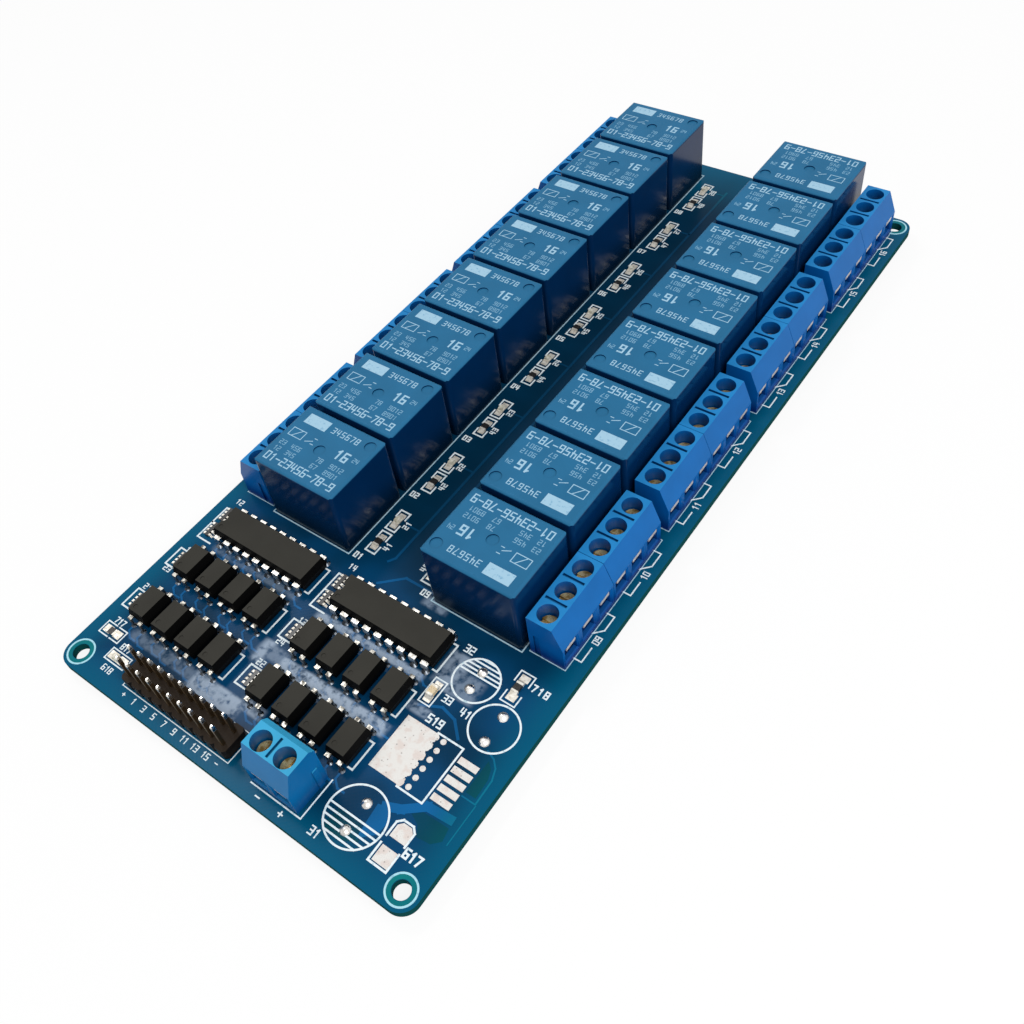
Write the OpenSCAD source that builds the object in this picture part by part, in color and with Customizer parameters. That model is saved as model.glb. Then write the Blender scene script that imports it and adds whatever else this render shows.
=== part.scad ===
// Sixteen-channel relay board: two rows of sealed relays and screw terminals on one circuit board,
// with the driver chips, optocouplers, supply terminal and control header at the near end.
// Millimetres. The origin is the centre of the four mounting holes, on the underside of the board.
// +X runs across the board, +Y along it away from the control end, +Z up out of the board.

/* [Board] */
// Width of the board, across X
board_w = 80; // [79:0.5:100]
// Length of the board, along Y
board_l = 180; // [178:1:220]
// Thickness of the board
board_t = 1.6; // [1:0.2:3.2]
// Radius of the board's corners
corner_r = 3.2; // [1:0.1:5]
// Diameter of the four mounting holes
hole_d = 3; // [2.2:0.1:3.6]
// Distance from each board edge to the nearest mounting hole centres
hole_inset = 3.2; // [2.5:0.1:4.5]
// Room round each lead in its drilled hole
drill_clear = 0.15; // [0.05:0.05:0.3]

/* [Relays] */
// Relays in each of the two rows
relays_per_row = 8; // [4:2:8]
// Length of a relay case, across the board
relay_len = 19; // [17:0.1:20]
// Width of a relay case, along the board
relay_wid = 15.4; // [14:0.1:16]
// Height of a relay case
relay_h = 15.1; // [10:0.1:20]
// Distance between neighbouring relay centres
relay_pitch = 16.51; // [16.4:0.01:18]
// Room between a relay case and the terminal housing behind it
relay_gap = 1.25; // [0.5:0.05:2]
// Distance from the control edge of the board to the centre of the first relays
relay_start = 52.4; // [50:0.1:56]
// Radius of the upright edges of a relay case
relay_edge_r = 0.8; // [0.2:0.1:1.5]
// Radius of the top edges of a relay case
relay_top_r = 0.6; // [0.2:0.1:1.2]
// Depth from the rim of the case up to the sealing resin
resin_recess = 0.5; // [0.2:0.1:1]
// Wall of the relay case round the resin
relay_wall = 1; // [0.6:0.1:1.6]
// Diameter of the two moulding dimples in a relay top
dimple_d = 2.3; // [1.5:0.1:3]
// Depth of the moulding dimples
dimple_depth = 0.25; // [0.1:0.05:0.4]
// Distance of the corner dimple from the relay centre, towards the board's centre line
dimple_x = 7.6; // [6:0.1:8]
// Distance of the corner dimple from the relay centre, along the board
dimple_y = 5.3; // [4:0.1:6]
// Diameter of a relay pin
relay_pin_d = 1; // [0.6:0.1:1.2]
// Distance of the coil pins and contact pins from the relay's long axis
relay_pin_y = 6; // [5:0.1:6.1]
// Distance of the contact pins from the relay centre
contact_pin_x = 7.1; // [6:0.1:7.5]
// Distance of the common pin from the relay centre
common_pin_x = 7.1; // [6:0.1:7.5]
// Distance of the coil pins from the relay centre
coil_pin_x = 5.1; // [4:0.1:6]

/* [Relay terminals] */
// Distance between neighbouring poles
pole_pitch = 5.08; // [5:0.01:5.2]
// Poles in one block; two blocks stand behind two relays
poles_per_block = 3; // [3:1:3]
// Room between the two blocks of a pair
block_gap = 0.1; // [0.05:0.05:0.2]
// Depth of a terminal housing, across the board
block_depth = 6.7; // [6.6:0.1:7.4]
// Height of a terminal housing
block_h = 10; // [9.2:0.1:13]
// Width of the level top of a terminal housing
block_flat = 4.9; // [4.6:0.1:5.4]
// Height of the upright lower face with the wire entries
block_front_h = 5.4; // [5.1:0.1:6]
// Distance from the board edge to the wire side of the relay terminals
block_inset = 3.25; // [2:0.05:3.5]
// Diameter of a screwdriver well
well_d = 3.65; // [3.4:0.05:3.8]
// Distance from the back of the housing to the well centres
well_back = 2.6; // [2.4:0.1:2.8]
// Width of the groove between two poles
groove_w = 0.5; // [0.3:0.1:0.8]
// Depth of the groove between two poles
groove_depth = 0.6; // [0.3:0.1:1]
// Distance from each side of the level top to the ends of the groove
groove_end = 0.4; // [0.2:0.1:1]
// Width of a wire entry
entry_w = 3.4; // [2.5:0.1:3.8]
// Height of a wire entry
entry_h = 3.7; // [2.5:0.1:3.8]
// Height of the lower edge of a wire entry above the board
entry_sill = 1.2; // [1.1:0.1:1.3]
// Width by which the entry's edges are flared
entry_flare = 0.3; // [0.1:0.1:0.4]
// Thickness of the front wall
front_wall = 1; // [0.8:0.1:1.3]
// Thickness of the back wall
back_wall = 0.9; // [0.7:0.1:1.1]
// Thickness of the wall between two poles
cell_wall = 0.9; // [0.7:0.1:1.1]
// Thickness of the floor under the clamp
cell_floor = 0.7; // [0.5:0.1:0.8]
// Height of the clamp's chamber
cell_h = 5.6; // [5.4:0.1:6]
// Width of the neck of the dovetail that joins two blocks
dovetail_neck = 0.9; // [0.85:0.05:1.1]
// Width of the dovetail at its outer edge
dovetail_w = 1.15; // [1:0.05:1.15]
// How far the dovetail reaches out
dovetail_out = 0.2; // [0.15:0.05:0.25]
// Distance from the back of the housing to the dovetail's centre
dovetail_back = 1.5; // [1.2:0.1:1.8]
// Room round the dovetail in its slot
dovetail_clear = 0.1; // [0.08:0.01:0.12]

/* [Contacts and screws] */
// Room round a contact in its chamber
contact_clear = 0.15; // [0.1:0.05:0.25]
// Length of a contact along the wire
contact_len = 3.4; // [3:0.1:3.6]
// Height of a contact
contact_h = 5; // [4.6:0.1:5.2]
// Thickness of the contact's sides and floor
contact_wall = 0.5; // [0.3:0.1:0.7]
// Thickness of the contact's threaded top
contact_top = 0.9; // [0.7:0.1:1.2]
// Diameter of a terminal's solder pin
block_pin_d = 1; // [0.8:0.1:1.2]
// Thickness of the leaf that a screw presses on the wire
leaf_t = 0.3; // [0.2:0.05:0.4]
// Room between the leaf and the contact's sides
leaf_clear = 0.15; // [0.1:0.05:0.3]
// Distance from the wire side of the housing to the leaf's upturned lip
lip_inset = 0.15; // [0.1:0.05:0.4]
// Room between the lip and the upper edge of the wire entry
lip_clear = 0.05; // [0.05:0.05:0.3]
// How far a screw reaches below the contact's threaded top
screw_reach = 0.5; // [0.3:0.1:1.5]
// Gap under a screw head
screw_gap = 0.2; // [0.1:0.1:0.6]
// Diameter of a clamp screw's thread
screw_d = 2; // [1.8:0.1:2.2]
// Diameter of a clamp screw's head
screw_head_d = 3.2; // [3:0.1:3.3]
// Height of a clamp screw's head
screw_head_h = 1.2; // [0.8:0.1:1.6]
// Width of the slot in a screw head
screw_slot_w = 0.6; // [0.4:0.1:0.8]
// Depth of the slot in a screw head
screw_slot_depth = 0.6; // [0.3:0.1:0.7]

/* [Supply terminal] */
// Distance between the two supply poles
supply_pitch = 5; // [5:0.01:5.2]
// Depth of the supply terminal
supply_depth = 7.1; // [6.8:0.1:7.6]
// Height of the supply terminal
supply_h = 10.2; // [9.4:0.1:13]
// Width of the level top of the supply terminal
supply_flat = 5.4; // [5.2:0.1:5.6]
// Distance from the back of the supply terminal to its well centres
supply_well_back = 3.5; // [3.4:0.1:3.6]
// Size of the bevel along the supply terminal's upper back edge
supply_bevel = 1; // [0.4:0.1:1.2]
// Distance of the supply terminal's centre from the board's centre line
supply_x = 11.4; // [10:0.1:13]
// Distance from the control edge of the board to the wire side of the supply terminal
supply_start = 3; // [2.5:0.1:3.5]

/* [Driver chips] */
// Distance between the two rows of leads on chips and optocouplers
row_span = 7.62; // [7.5:0.01:7.8]
// Distance between neighbouring leads, and between header pins
lead_pitch = 2.54; // [2.5:0.01:2.54]
// Leads on each side of a driver chip
chip_leads = 9; // [7:1:9]
// Length of a driver chip's body past its end leads, at each end
chip_overhang = 1.3; // [0.8:0.1:1.4]
// Width of a driver chip's body
chip_w = 6.4; // [6:0.1:6.8]
// Height of a driver chip's body
chip_h = 3.3; // [2.8:0.1:4]
// Draft of the bodies' faces, at the top and bottom
body_draft = 0.35; // [0.1:0.05:0.5]
// Gap between the board and the plastic bodies
standoff = 0.5; // [0.3:0.1:0.9]
// Diameter of the half-round notch in a driver chip's end
notch_d = 2; // [1:0.1:2.4]
// Depth of the notch from the chip's top
notch_depth = 1.3; // [0.6:0.1:1.6]
// Diameter of the first-lead mark in the top of a chip or optocoupler
mark_d = 0.9; // [0.5:0.1:1.2]
// Depth of the first-lead mark
mark_depth = 0.1; // [0.05:0.05:0.2]
// Distance from a body's long side to the centre of its first-lead mark
mark_inset = 1.3; // [1:0.1:1.8]
// Distance from the control edge of the board to the driver chips' centres
chip_start = 36.8; // [36.3:0.1:37.5]
// Distance of the driver chips' centres to the left of the board's centre line
chip_left_x = 21.9; // [21:0.1:22.2]
// Distance of the driver chips' centres to the right of the board's centre line
chip_right_x = 7.4; // [7:0.1:7.9]

/* [Leads] */
// Thickness of a lead
lead_t = 0.25; // [0.2:0.05:0.35]
// Width of the shoulder of a driver chip's lead
shoulder_w = 1.4; // [1:0.1:1.6]
// Width of a lead's tail
tail_w = 0.5; // [0.4:0.05:0.6]
// Height of the shoulder's lower edge above the board
shoulder_sill = 0.8; // [0.6:0.1:1]
// How far the leads stand out of the underside
tail_out = 1.3; // [0.8:0.1:1.4]
// How far the relay pins stand out of the underside
relay_pin_out = 1.6; // [1.5:0.1:2.5]

/* [Optocouplers] */
// Optocouplers in one group
optos_per_group = 4; // [2:1:4]
// Distance between neighbouring optocouplers
opto_pitch = 6; // [5.5:0.05:6.15]
// Length of an optocoupler along its row
opto_len = 4.3; // [4:0.1:5]
// Width of an optocoupler's body
opto_w = 6.4; // [6:0.1:6.6]
// Height of an optocoupler's body
opto_h = 3.4; // [2.5:0.1:4]
// Width of the shoulder of an optocoupler's lead
opto_shoulder_w = 0.9; // [0.7:0.1:1.6]
// Distance of the left groups' centres to the left of the board's centre line
opto_left_x = 22.4; // [22.1:0.1:22.7]
// Distance of the right groups' centres to the right of the board's centre line
opto_right_x = 7.1; // [6.8:0.1:7.4]
// Distance from the control edge of the board to the near row of optocouplers
opto_near_start = 15.9; // [15.7:0.1:16.2]
// Distance from the near row of optocouplers to the far row
opto_row_gap = 10.7; // [10.4:0.1:10.9]

/* [Header] */
// Columns of pins in the header
header_cols = 10; // [6:1:10]
// Height of the header's plastic strip
header_h = 2.5; // [2:0.1:3]
// Height of the pin tips above the board
header_top = 8.5; // [6:0.1:12]
// Width of a header pin
header_pin_w = 0.64; // [0.5:0.02:0.7]
// Length of the taper at a pin's tip
header_tip = 0.5; // [0.2:0.1:0.8]
// Size of the cut corners between two columns
header_chamfer = 0.5; // [0.2:0.1:0.7]
// Distance of the header's centre to the left of the board's centre line
header_x = 12; // [11.6:0.1:12.4]
// Distance from the control edge of the board to the header's centre
header_start = 5.7; // [5.3:0.1:6]

/* [Surface mounted parts] */
// Length of a chip part, over its metal ends
chip_part_l = 2; // [1.8:0.1:2.2]
// Width of a chip part
chip_part_w = 1.25; // [1:0.05:1.4]
// Height of a chip resistor
resistor_h = 0.5; // [0.35:0.05:0.6]
// Height of the chip capacitor
capacitor_h = 0.9; // [0.6:0.05:1.2]
// Height of a light-emitting diode
led_h = 0.8; // [0.6:0.05:1.1]
// Distance from the sides of a diode's base to its lens
lens_inset = 0.1; // [0.05:0.05:0.2]
// Draft of a diode's lens
lens_draft = 0.1; // [0.05:0.05:0.2]
// Length of each metal end
end_cap_l = 0.4; // [0.3:0.05:0.5]
// Thickness of the metal ends and of the solder under the chip parts
end_cap_t = 0.05; // [0.03:0.01:0.08]
// Length of a solder fillet beyond each metal end
fillet_l = 0.45; // [0.2:0.05:0.6]
// Thickness of a solder fillet at its outer edge
fillet_edge = 0.08; // [0.04:0.01:0.12]
// Distance from a relay's inner end to the centre of its light and resistor
channel_gap = 3.2; // [2:0.1:4]
// Distance from a relay's centre to its light, away from the control edge
channel_led_y = 2.6; // [2:0.1:3]
// Distance from a relay's centre to its light's resistor, towards the control edge
channel_res_y = 3.05; // [2.5:0.05:3.5]
// Length of a resistor array, along Y
array_l = 3.2; // [3:0.1:3.4]
// Width of a resistor array, across X
array_w = 1.6; // [1.4:0.1:1.7]
// Resistors in one array
array_count = 4; // [4:1:4]
// Width of each metal end of an array
array_end_w = 0.45; // [0.3:0.05:0.55]
// Diameter of the half-round bays between an array's ends
array_bay_d = 0.3; // [0.1:0.05:0.35]
// Gap between the two arrays beside a driver chip
array_pair_gap = 0.8; // [0.4:0.1:1]
// Distance from a resistor array to the nearest lead, across X
array_gap = 3.3; // [3.2:0.1:3.5]

/* [Empty places] */
// Thickness of the solder on bare pads
pad_t = 0.1; // [0.05:0.05:0.2]
// Corners cut off the far end of the diode's far pad
pad_chamfer = 0.7; // [0.3:0.1:0.9]
// Diameter of the small filled through holes
via_d = 0.6; // [0.3:0.1:0.8]
// Diameter of the land round a small through hole
via_land_d = 1; // [0.9:0.1:1.2]
// Height of a solder dome in an empty hole
dome_h = 0.6; // [0.3:0.1:0.9]
// Diameter of a solder dome
dome_d = 1.9; // [1.4:0.1:2.2]
// Height of a solder cone round a lead on the underside
cone_h = 1; // [0.5:0.1:1.2]
// Thickness of a solder cone's edge on the board and at its tip
cone_edge = 0.1; // [0.05:0.05:0.15]
// Thickness of the solder halfway up a cone
cone_waist = 0.25; // [0.15:0.05:0.35]
// Diameter of a solder cone round a thick pin
cone_d = 2.2; // [1.8:0.1:2.4]
// Diameter of a solder cone round a thin lead
small_cone_d = 1.5; // [1.2:0.1:1.8]

/* [Hidden] */
$fn = 48;
eps = 0.01;
front_y = -board_l / 2;
hole_x = board_w / 2 - hole_inset;
hole_y = board_l / 2 - hole_inset;
drill_d = 2 * drill_clear;
relay_y0 = front_y + relay_start;
SIDES = [-1, 1];
block_x = board_w / 2 - block_inset - block_depth;
relay_x = block_x - relay_gap - relay_len / 2;
channel_x = relay_x - relay_len / 2 - channel_gap;
RELAYS = [for (side = SIDES, i = [0 : relays_per_row - 1]) [side, relay_y0 + i * relay_pitch]];
blocks_per_side = relays_per_row;
block_len = poles_per_block * pole_pitch - block_gap;
BLOCKS = [for (side = SIDES, i = [0 : blocks_per_side - 1]) [side, block_y(i)]];
cell_w = pole_pitch - cell_wall;
supply_cell_w = supply_pitch - cell_wall;
supply_len = 2 * supply_pitch - block_gap;
contact_z = board_t + cell_floor;
screw_tip_z = contact_z + contact_h - contact_top - screw_reach;
chip_y = front_y + chip_start;
chip_len = (chip_leads - 1) * lead_pitch + 2 * chip_overhang;
CHIPS = [[-chip_left_x, chip_y], [chip_right_x, chip_y]];
opto_near_y = front_y + opto_near_start;
OPTO_ROWS = [for (far = [0, 1], x = [-opto_left_x, opto_right_x]) [x, opto_near_y + far * opto_row_gap]];
header_y = front_y + header_start;
supply_y = front_y + supply_start;
seat_z = board_t + end_cap_t;
fillet_climb = 0.8;
lead_hole_d = norm([tail_w, lead_t]) + drill_d;
header_hole_d = norm([header_pin_w, header_pin_w]) + drill_d;

// Empty capacitor and choke places: centre and the distance between the two holes
big_cap_x = 24.1;
big_cap_start = 7.75;
big_cap = [big_cap_x, front_y + big_cap_start];
big_cap_pins = 5;
small_cap_x = 25.7;
small_cap_start = 36.1;
small_cap = [small_cap_x, front_y + small_cap_start];
small_cap_pins = 3.5;
choke_x = 33.2;
choke_start = 30.7;
choke = [choke_x, front_y + choke_start];
choke_pins = 5;
EMPTY_HOLES = [for (place = [[big_cap, big_cap_pins], [small_cap, small_cap_pins], [choke, choke_pins]],
                    end = SIDES) place[0] + [0, end * place[1] / 2]];
empty_hole_d = 1;

// Empty regulator place: a tab pad, five lead pads and a column of six small through holes
tab_w = 6.2;
tab_l = 10.1;
tab_x = 23.3;
tab_start = 20.2;
tab_at = [tab_x, front_y + tab_start];
lead_pad_w = 3.6;
lead_pad_l = 1.15;
lead_pad_pitch = 1.72;
lead_pads = 5;
lead_pads_x = 33.5;
vias = 6;
via_pitch = 1.76;
via_x = 27.85;
VIA_Y = [for (i = [0 : vias - 1]) tab_at[1] + (i - (vias - 1) / 2) * via_pitch];

// Empty diode place: two pads
diode_pad_w = 2.9;
diode_pad_l = 2.7;
diode_pad = [diode_pad_w, diode_pad_l];
diode_x = 31.7;
diode_start = 5.5;
diode_span = 4.2;
diode_near_y = front_y + diode_start;
diode_far_y = diode_near_y + diode_span;

// Chip parts that lie by themselves, measured from the centre line and from the control edge
supply_led_x = -29.9;
supply_led_start = 5.7;
supply_led_at = [supply_led_x, front_y + supply_led_start];
supply_res_x = -35;
supply_res_start = 9;
supply_res_at = [supply_res_x, front_y + supply_res_start];
near_res_x = 32.2;
near_res_start = 38.6;
near_res_at = [near_res_x, front_y + near_res_start];
near_cap_x = 20.95;
near_cap_start = 30.6;
near_cap_at = [near_cap_x, front_y + near_cap_start];

CHANNEL_LEDS = [for (r = RELAYS) [r[0] * channel_x, r[1] + channel_led_y]];
CHANNEL_RESISTORS = [for (r = RELAYS) [r[0] * channel_x, r[1] - channel_res_y]];
array_pair_y = (array_l + array_pair_gap) / 2;
array_rows = [opto_near_y, opto_near_y + opto_row_gap, chip_y - array_pair_y, chip_y + array_pair_y];
opto_reach = (optos_per_group - 1) / 2 * opto_pitch + lead_pitch / 2;
ARRAYS = [for (x = [-opto_left_x, opto_right_x], y = array_rows) [x - opto_reach - array_gap, y]];

RELAY_PINS = [[common_pin_x, 0], [coil_pin_x, relay_pin_y], [coil_pin_x, -relay_pin_y],
              [-contact_pin_x, relay_pin_y], [-contact_pin_x, -relay_pin_y]];
RELAY_PIN_AT = [for (r = RELAYS, p = RELAY_PINS) [r[0] * (relay_x - p[0]), r[1] + r[0] * p[1]]];
block_pin_x = block_x + well_back;
BLOCK_PIN_AT = [for (b = BLOCKS, i = [0 : poles_per_block - 1]) [b[0] * block_pin_x, b[1] + pole_at(i)]];
SUPPLY_PIN_AT = [for (end = SIDES)
    [supply_x + end * supply_pitch / 2, supply_y + supply_depth - supply_well_back]];
CHIP_LEAD_AT = [for (c = CHIPS, side = SIDES, i = [0 : chip_leads - 1])
    [c[0] + (i - (chip_leads - 1) / 2) * lead_pitch, c[1], side]];
OPTO_LEAD_AT = [for (r = OPTO_ROWS, i = [0 : optos_per_group - 1], end = SIDES, side = SIDES)
    [r[0] + opto_at(i) + end * lead_pitch / 2, r[1], side]];
HEADER_PIN_AT = [for (row = SIDES, i = [0 : header_cols - 1])
    [-header_x + (i - (header_cols - 1) / 2) * lead_pitch, header_y + row * lead_pitch / 2]];

// Centre of a terminal block along Y: two blocks share the length of two relays
function block_y(i) =
    relay_y0 + (floor(i / 2) * 2 + 0.5) * relay_pitch + (i % 2 - 0.5) * poles_per_block * pole_pitch;
// Place of a pole along its block, from the block's centre
function pole_at(i) = (i - (poles_per_block - 1) / 2) * pole_pitch;
// Place of an optocoupler along its group, from the group's centre
function opto_at(i) = (i - (optos_per_group - 1) / 2) * opto_pitch;

// Flat rectangle with round corners, centred
module rounded_plate(w, l, r) {
    square([w - 2 * r, l], center = true);
    square([w, l - 2 * r], center = true);
    for (x = SIDES, y = SIDES)
        translate([x * (w / 2 - r), y * (l / 2 - r)]) circle(r);
}

// Side view of a body with round upper edges, standing on y = 0
module round_top_profile(w, h, r) {
    translate([-w / 2, 0]) square([w, h - r]);
    translate([-w / 2 + r, h - r - eps]) square([w - 2 * r, r + eps]);
    for (x = SIDES)
        translate([x * (w / 2 - r), h - r]) circle(r);
}

// Stands a side view up along X or Y: the view's y becomes Z
module stand_along_y(len) {
    rotate([90, 0, 0]) linear_extrude(len, center = true) children();
}
module stand_along_x(len) {
    rotate([90, 0, 90]) linear_extrude(len, center = true) children();
}

// The bare board with its mounting holes and every lead hole
module pcb() {
    color("#0a4f78") linear_extrude(board_t) difference() {
        rounded_plate(board_w, board_l, corner_r);
        for (x = SIDES, y = SIDES)
            translate([x * hole_x, y * hole_y]) circle(d = hole_d);
        for (p = RELAY_PIN_AT) translate(p) circle(d = relay_pin_d + drill_d, $fn = 24);
        for (p = concat(BLOCK_PIN_AT, SUPPLY_PIN_AT)) translate(p) circle(d = block_pin_d + drill_d, $fn = 24);
        for (p = concat(CHIP_LEAD_AT, OPTO_LEAD_AT))
            translate([p[0], p[1] + p[2] * row_span / 2]) circle(d = lead_hole_d, $fn = 24);
        for (p = HEADER_PIN_AT) translate(p) circle(d = header_hole_d, $fn = 24);
        for (p = EMPTY_HOLES) translate(p) circle(d = empty_hole_d, $fn = 24);
        for (y = VIA_Y) translate([via_x, y]) circle(d = via_d, $fn = 24);
    }
}

// One sealed relay: a moulded case with round edges, closed by resin a little above its rim
module relay(index) {
    side = RELAYS[index - 1][0];
    color("#2f6a98") translate([side * relay_x, RELAYS[index - 1][1], board_t]) rotate(side < 0 ? 0 : 180)
        difference() {
            intersection() {
                linear_extrude(relay_h) rounded_plate(relay_len, relay_wid, relay_edge_r);
                stand_along_y(relay_wid) round_top_profile(relay_len, relay_h, relay_top_r);
                stand_along_x(relay_len) round_top_profile(relay_wid, relay_h, relay_top_r);
            }
            translate([0, 0, -eps]) linear_extrude(resin_recess + eps)
                rounded_plate(relay_len - 2 * relay_wall, relay_wid - 2 * relay_wall, relay_edge_r / 2);
            translate([0, 0, relay_h - dimple_depth]) cylinder(d = dimple_d, h = 1);
            translate([dimple_x, dimple_y, relay_h - dimple_depth]) cylinder(d = dimple_d, h = 1);
        }
}

// The five pins of every relay, from the resin through the board
module relay_pins() {
    color("silver") for (p = RELAY_PIN_AT)
        translate([p[0], p[1], -relay_pin_out])
            cylinder(d = relay_pin_d, h = relay_pin_out + board_t + resin_recess, $fn = 24);
}

// Cross-section of a terminal housing: back at x = 0, wire side at x = depth
module block_profile(depth, h, flat, bevel) {
    polygon([[0, 0], [depth, 0], [depth, block_front_h], [flat, h], [bevel, h], [0, h - bevel]]);
}

// Plan of the dovetail that joins blocks, pointing along +y from y = 0
module dovetail(extra) {
    polygon([[-dovetail_neck / 2 - extra, -eps], [dovetail_neck / 2 + extra, -eps],
             [dovetail_w / 2 + extra, dovetail_out + extra], [-dovetail_w / 2 - extra, dovetail_out + extra]]);
}

// The room that one pole needs inside a housing: well, chamber, wire entry and contact slot
module pole_room(depth, h, chamber_w, back) {
    translate([back, 0, board_t + cell_floor + cell_h - eps])
        cylinder(d = well_d, h = h);
    translate([back_wall, -chamber_w / 2, board_t + cell_floor])
        cube([depth - back_wall - front_wall, chamber_w, cell_h]);
    translate([depth - front_wall - eps, -entry_w / 2, board_t + entry_sill])
        cube([front_wall + 2 * eps, entry_w, entry_h]);
    translate([depth, 0, board_t + entry_sill + entry_h / 2])
        entry_mouth();
    translate([back, 0, board_t - eps])
        cylinder(d = block_pin_d + drill_d, h = cell_floor + 2 * eps, $fn = 24);
}

// The bevelled rim of a wire entry, cut into the front face
module entry_mouth() {
    w = entry_w / 2;
    h = entry_h / 2;
    intersection() {
        rotate([90, 0, 0]) linear_extrude(entry_w + 2 * entry_flare, center = true)
            polygon([[-entry_flare, -h], [eps, -h - entry_flare], [eps, h + entry_flare], [-entry_flare, h]]);
        linear_extrude(entry_h + 2 * entry_flare, center = true)
            polygon([[-entry_flare, -w], [eps, -w - entry_flare], [eps, w + entry_flare], [-entry_flare, w]]);
    }
}

// A housing for any number of poles, lying along Y from its centre, back at x = 0
module housing(poles, pitch, depth, h, flat, len, chamber_w, back, bevel) {
    difference() {
        union() {
            translate([0, 0, board_t]) stand_along_y(len) block_profile(depth, h, flat, bevel);
            translate([dovetail_back, len / 2, board_t]) linear_extrude(block_front_h) dovetail(0);
        }
        translate([dovetail_back, -len / 2, board_t - eps])
            linear_extrude(block_front_h + dovetail_clear + eps) dovetail(dovetail_clear);
        for (i = [0 : poles - 1])
            translate([0, (i - (poles - 1) / 2) * pitch, 0]) pole_room(depth, h, chamber_w, back);
        for (i = [1 : poles - 1])
            translate([bevel + groove_end, (i - poles / 2) * pitch - groove_w / 2, board_t + h - groove_depth])
                cube([flat - bevel - 2 * groove_end, groove_w, groove_depth + 1]);
    }
}

// One three-pole housing beside the relays
module terminal_block(index) {
    side = BLOCKS[index - 1][0];
    color("#1f6fc4") translate([side * block_x, BLOCKS[index - 1][1], 0]) mirror([side < 0 ? 1 : 0, 0, 0])
        housing(poles_per_block, pole_pitch, block_depth, block_h, block_flat, block_len, cell_w,
                well_back, 0);
}

// Puts its children under every relay terminal well, wire side towards +x
module at_block_poles() {
    for (b = BLOCKS, i = [0 : poles_per_block - 1])
        translate([b[0] * block_pin_x, b[1] + pole_at(i), 0]) mirror([b[0] < 0 ? 1 : 0, 0, 0]) children();
}

// Puts its children under both supply wells, wire side towards +x
module at_supply_poles() {
    for (p = SUPPLY_PIN_AT) translate([p[0], p[1], 0]) rotate(-90) children();
}

// The two-pole supply terminal, with its wire entries over the control edge
module supply_terminal() {
    color("#2f96d8") translate([supply_x, supply_y + supply_depth, 0]) rotate(-90)
        housing(2, supply_pitch, supply_depth, supply_h, supply_flat, supply_len, supply_cell_w,
                supply_well_back, supply_bevel);
}

// A slotted clamp screw, its thread held in the contact's top
module clamp_screw() {
    head_z = contact_z + contact_h + screw_gap;
    head_top = head_z + screw_head_h;
    difference() {
        rotate_extrude() polygon([[0, screw_tip_z], [screw_d / 2, screw_tip_z], [screw_d / 2, head_z],
            [screw_head_d / 2, head_z], [screw_head_d / 2, head_top], [0, head_top]]);
        translate([-screw_head_d, -screw_slot_w / 2, head_top - screw_slot_depth])
            cube([2 * screw_head_d, screw_slot_w, screw_slot_depth + 1]);
    }
}
module clamp_screws() {
    color("#b8a878") {
        at_block_poles() clamp_screw();
        at_supply_poles() clamp_screw();
    }
}

// The leaf that a screw presses on the wire; its lip stands up in the wire entry
module wire_leaf(chamber_w, front) {
    w = chamber_w - 2 * (contact_clear + contact_wall + leaf_clear);
    back = -contact_len / 2;
    lip_h = board_t + entry_sill + entry_h - lip_clear - (screw_tip_z - leaf_t);
    translate([0, 0, screw_tip_z - leaf_t]) stand_along_y(w)
        polygon([[back, 0], [front, 0], [front, lip_h], [front - leaf_t, lip_h], [front - leaf_t, leaf_t],
                 [back, leaf_t]]);
}
module wire_clamps() {
    color("silver") {
        at_block_poles() wire_leaf(cell_w, block_depth - well_back - lip_inset);
        at_supply_poles() wire_leaf(supply_cell_w, supply_depth - supply_well_back - lip_inset);
    }
}

// A fixed contact: a square tube round the wire with a threaded top, and a pin through the board
module terminal_contact(chamber_w) {
    w = chamber_w - 2 * contact_clear;
    difference() {
        translate([-contact_len / 2, -w / 2, contact_z]) cube([contact_len, w, contact_h]);
        translate([-contact_len, contact_wall - w / 2, contact_z + contact_wall])
            cube([2 * contact_len, w - 2 * contact_wall, contact_h - contact_wall - contact_top]);
        translate([0, 0, contact_z + contact_h / 2]) cylinder(d = screw_d, h = contact_h);
    }
    translate([0, 0, -tail_out]) cylinder(d = block_pin_d, h = tail_out + contact_z + eps, $fn = 24);
}
module terminal_contacts() {
    color("silver") {
        at_block_poles() terminal_contact(cell_w);
        at_supply_poles() terminal_contact(supply_cell_w);
    }
}

// Side view of a moulded body, widest at its parting line
module drafted_profile(w, h) {
    polygon([[-w / 2 + body_draft, 0], [w / 2 - body_draft, 0], [w / 2, h / 2],
             [w / 2 - body_draft, h], [-w / 2 + body_draft, h], [-w / 2, h / 2]]);
}
module moulded_body(len, wid, h) {
    translate([0, 0, board_t + standoff]) intersection() {
        stand_along_y(wid) drafted_profile(len, h);
        stand_along_x(len) drafted_profile(wid, h);
    }
}

// Round dimple beside the first lead, in the near left corner of a body's top
module first_lead_mark(len, wid, h) {
    translate([mark_inset - len / 2, mark_inset - wid / 2, board_t + standoff + h - mark_depth])
        cylinder(d = mark_d, h = 1, $fn = 24);
}

// An eighteen-lead driver chip's body, with its end notch and its first-lead mark
module driver_chip(index) {
    color("#3a3935") translate([CHIPS[index - 1][0], CHIPS[index - 1][1], 0]) difference() {
        moulded_body(chip_len, chip_w, chip_h);
        translate([-chip_len / 2, 0, board_t + standoff + chip_h - notch_depth])
            cylinder(d = notch_d, h = chip_h);
        first_lead_mark(chip_len, chip_w, chip_h);
    }
}

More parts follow.
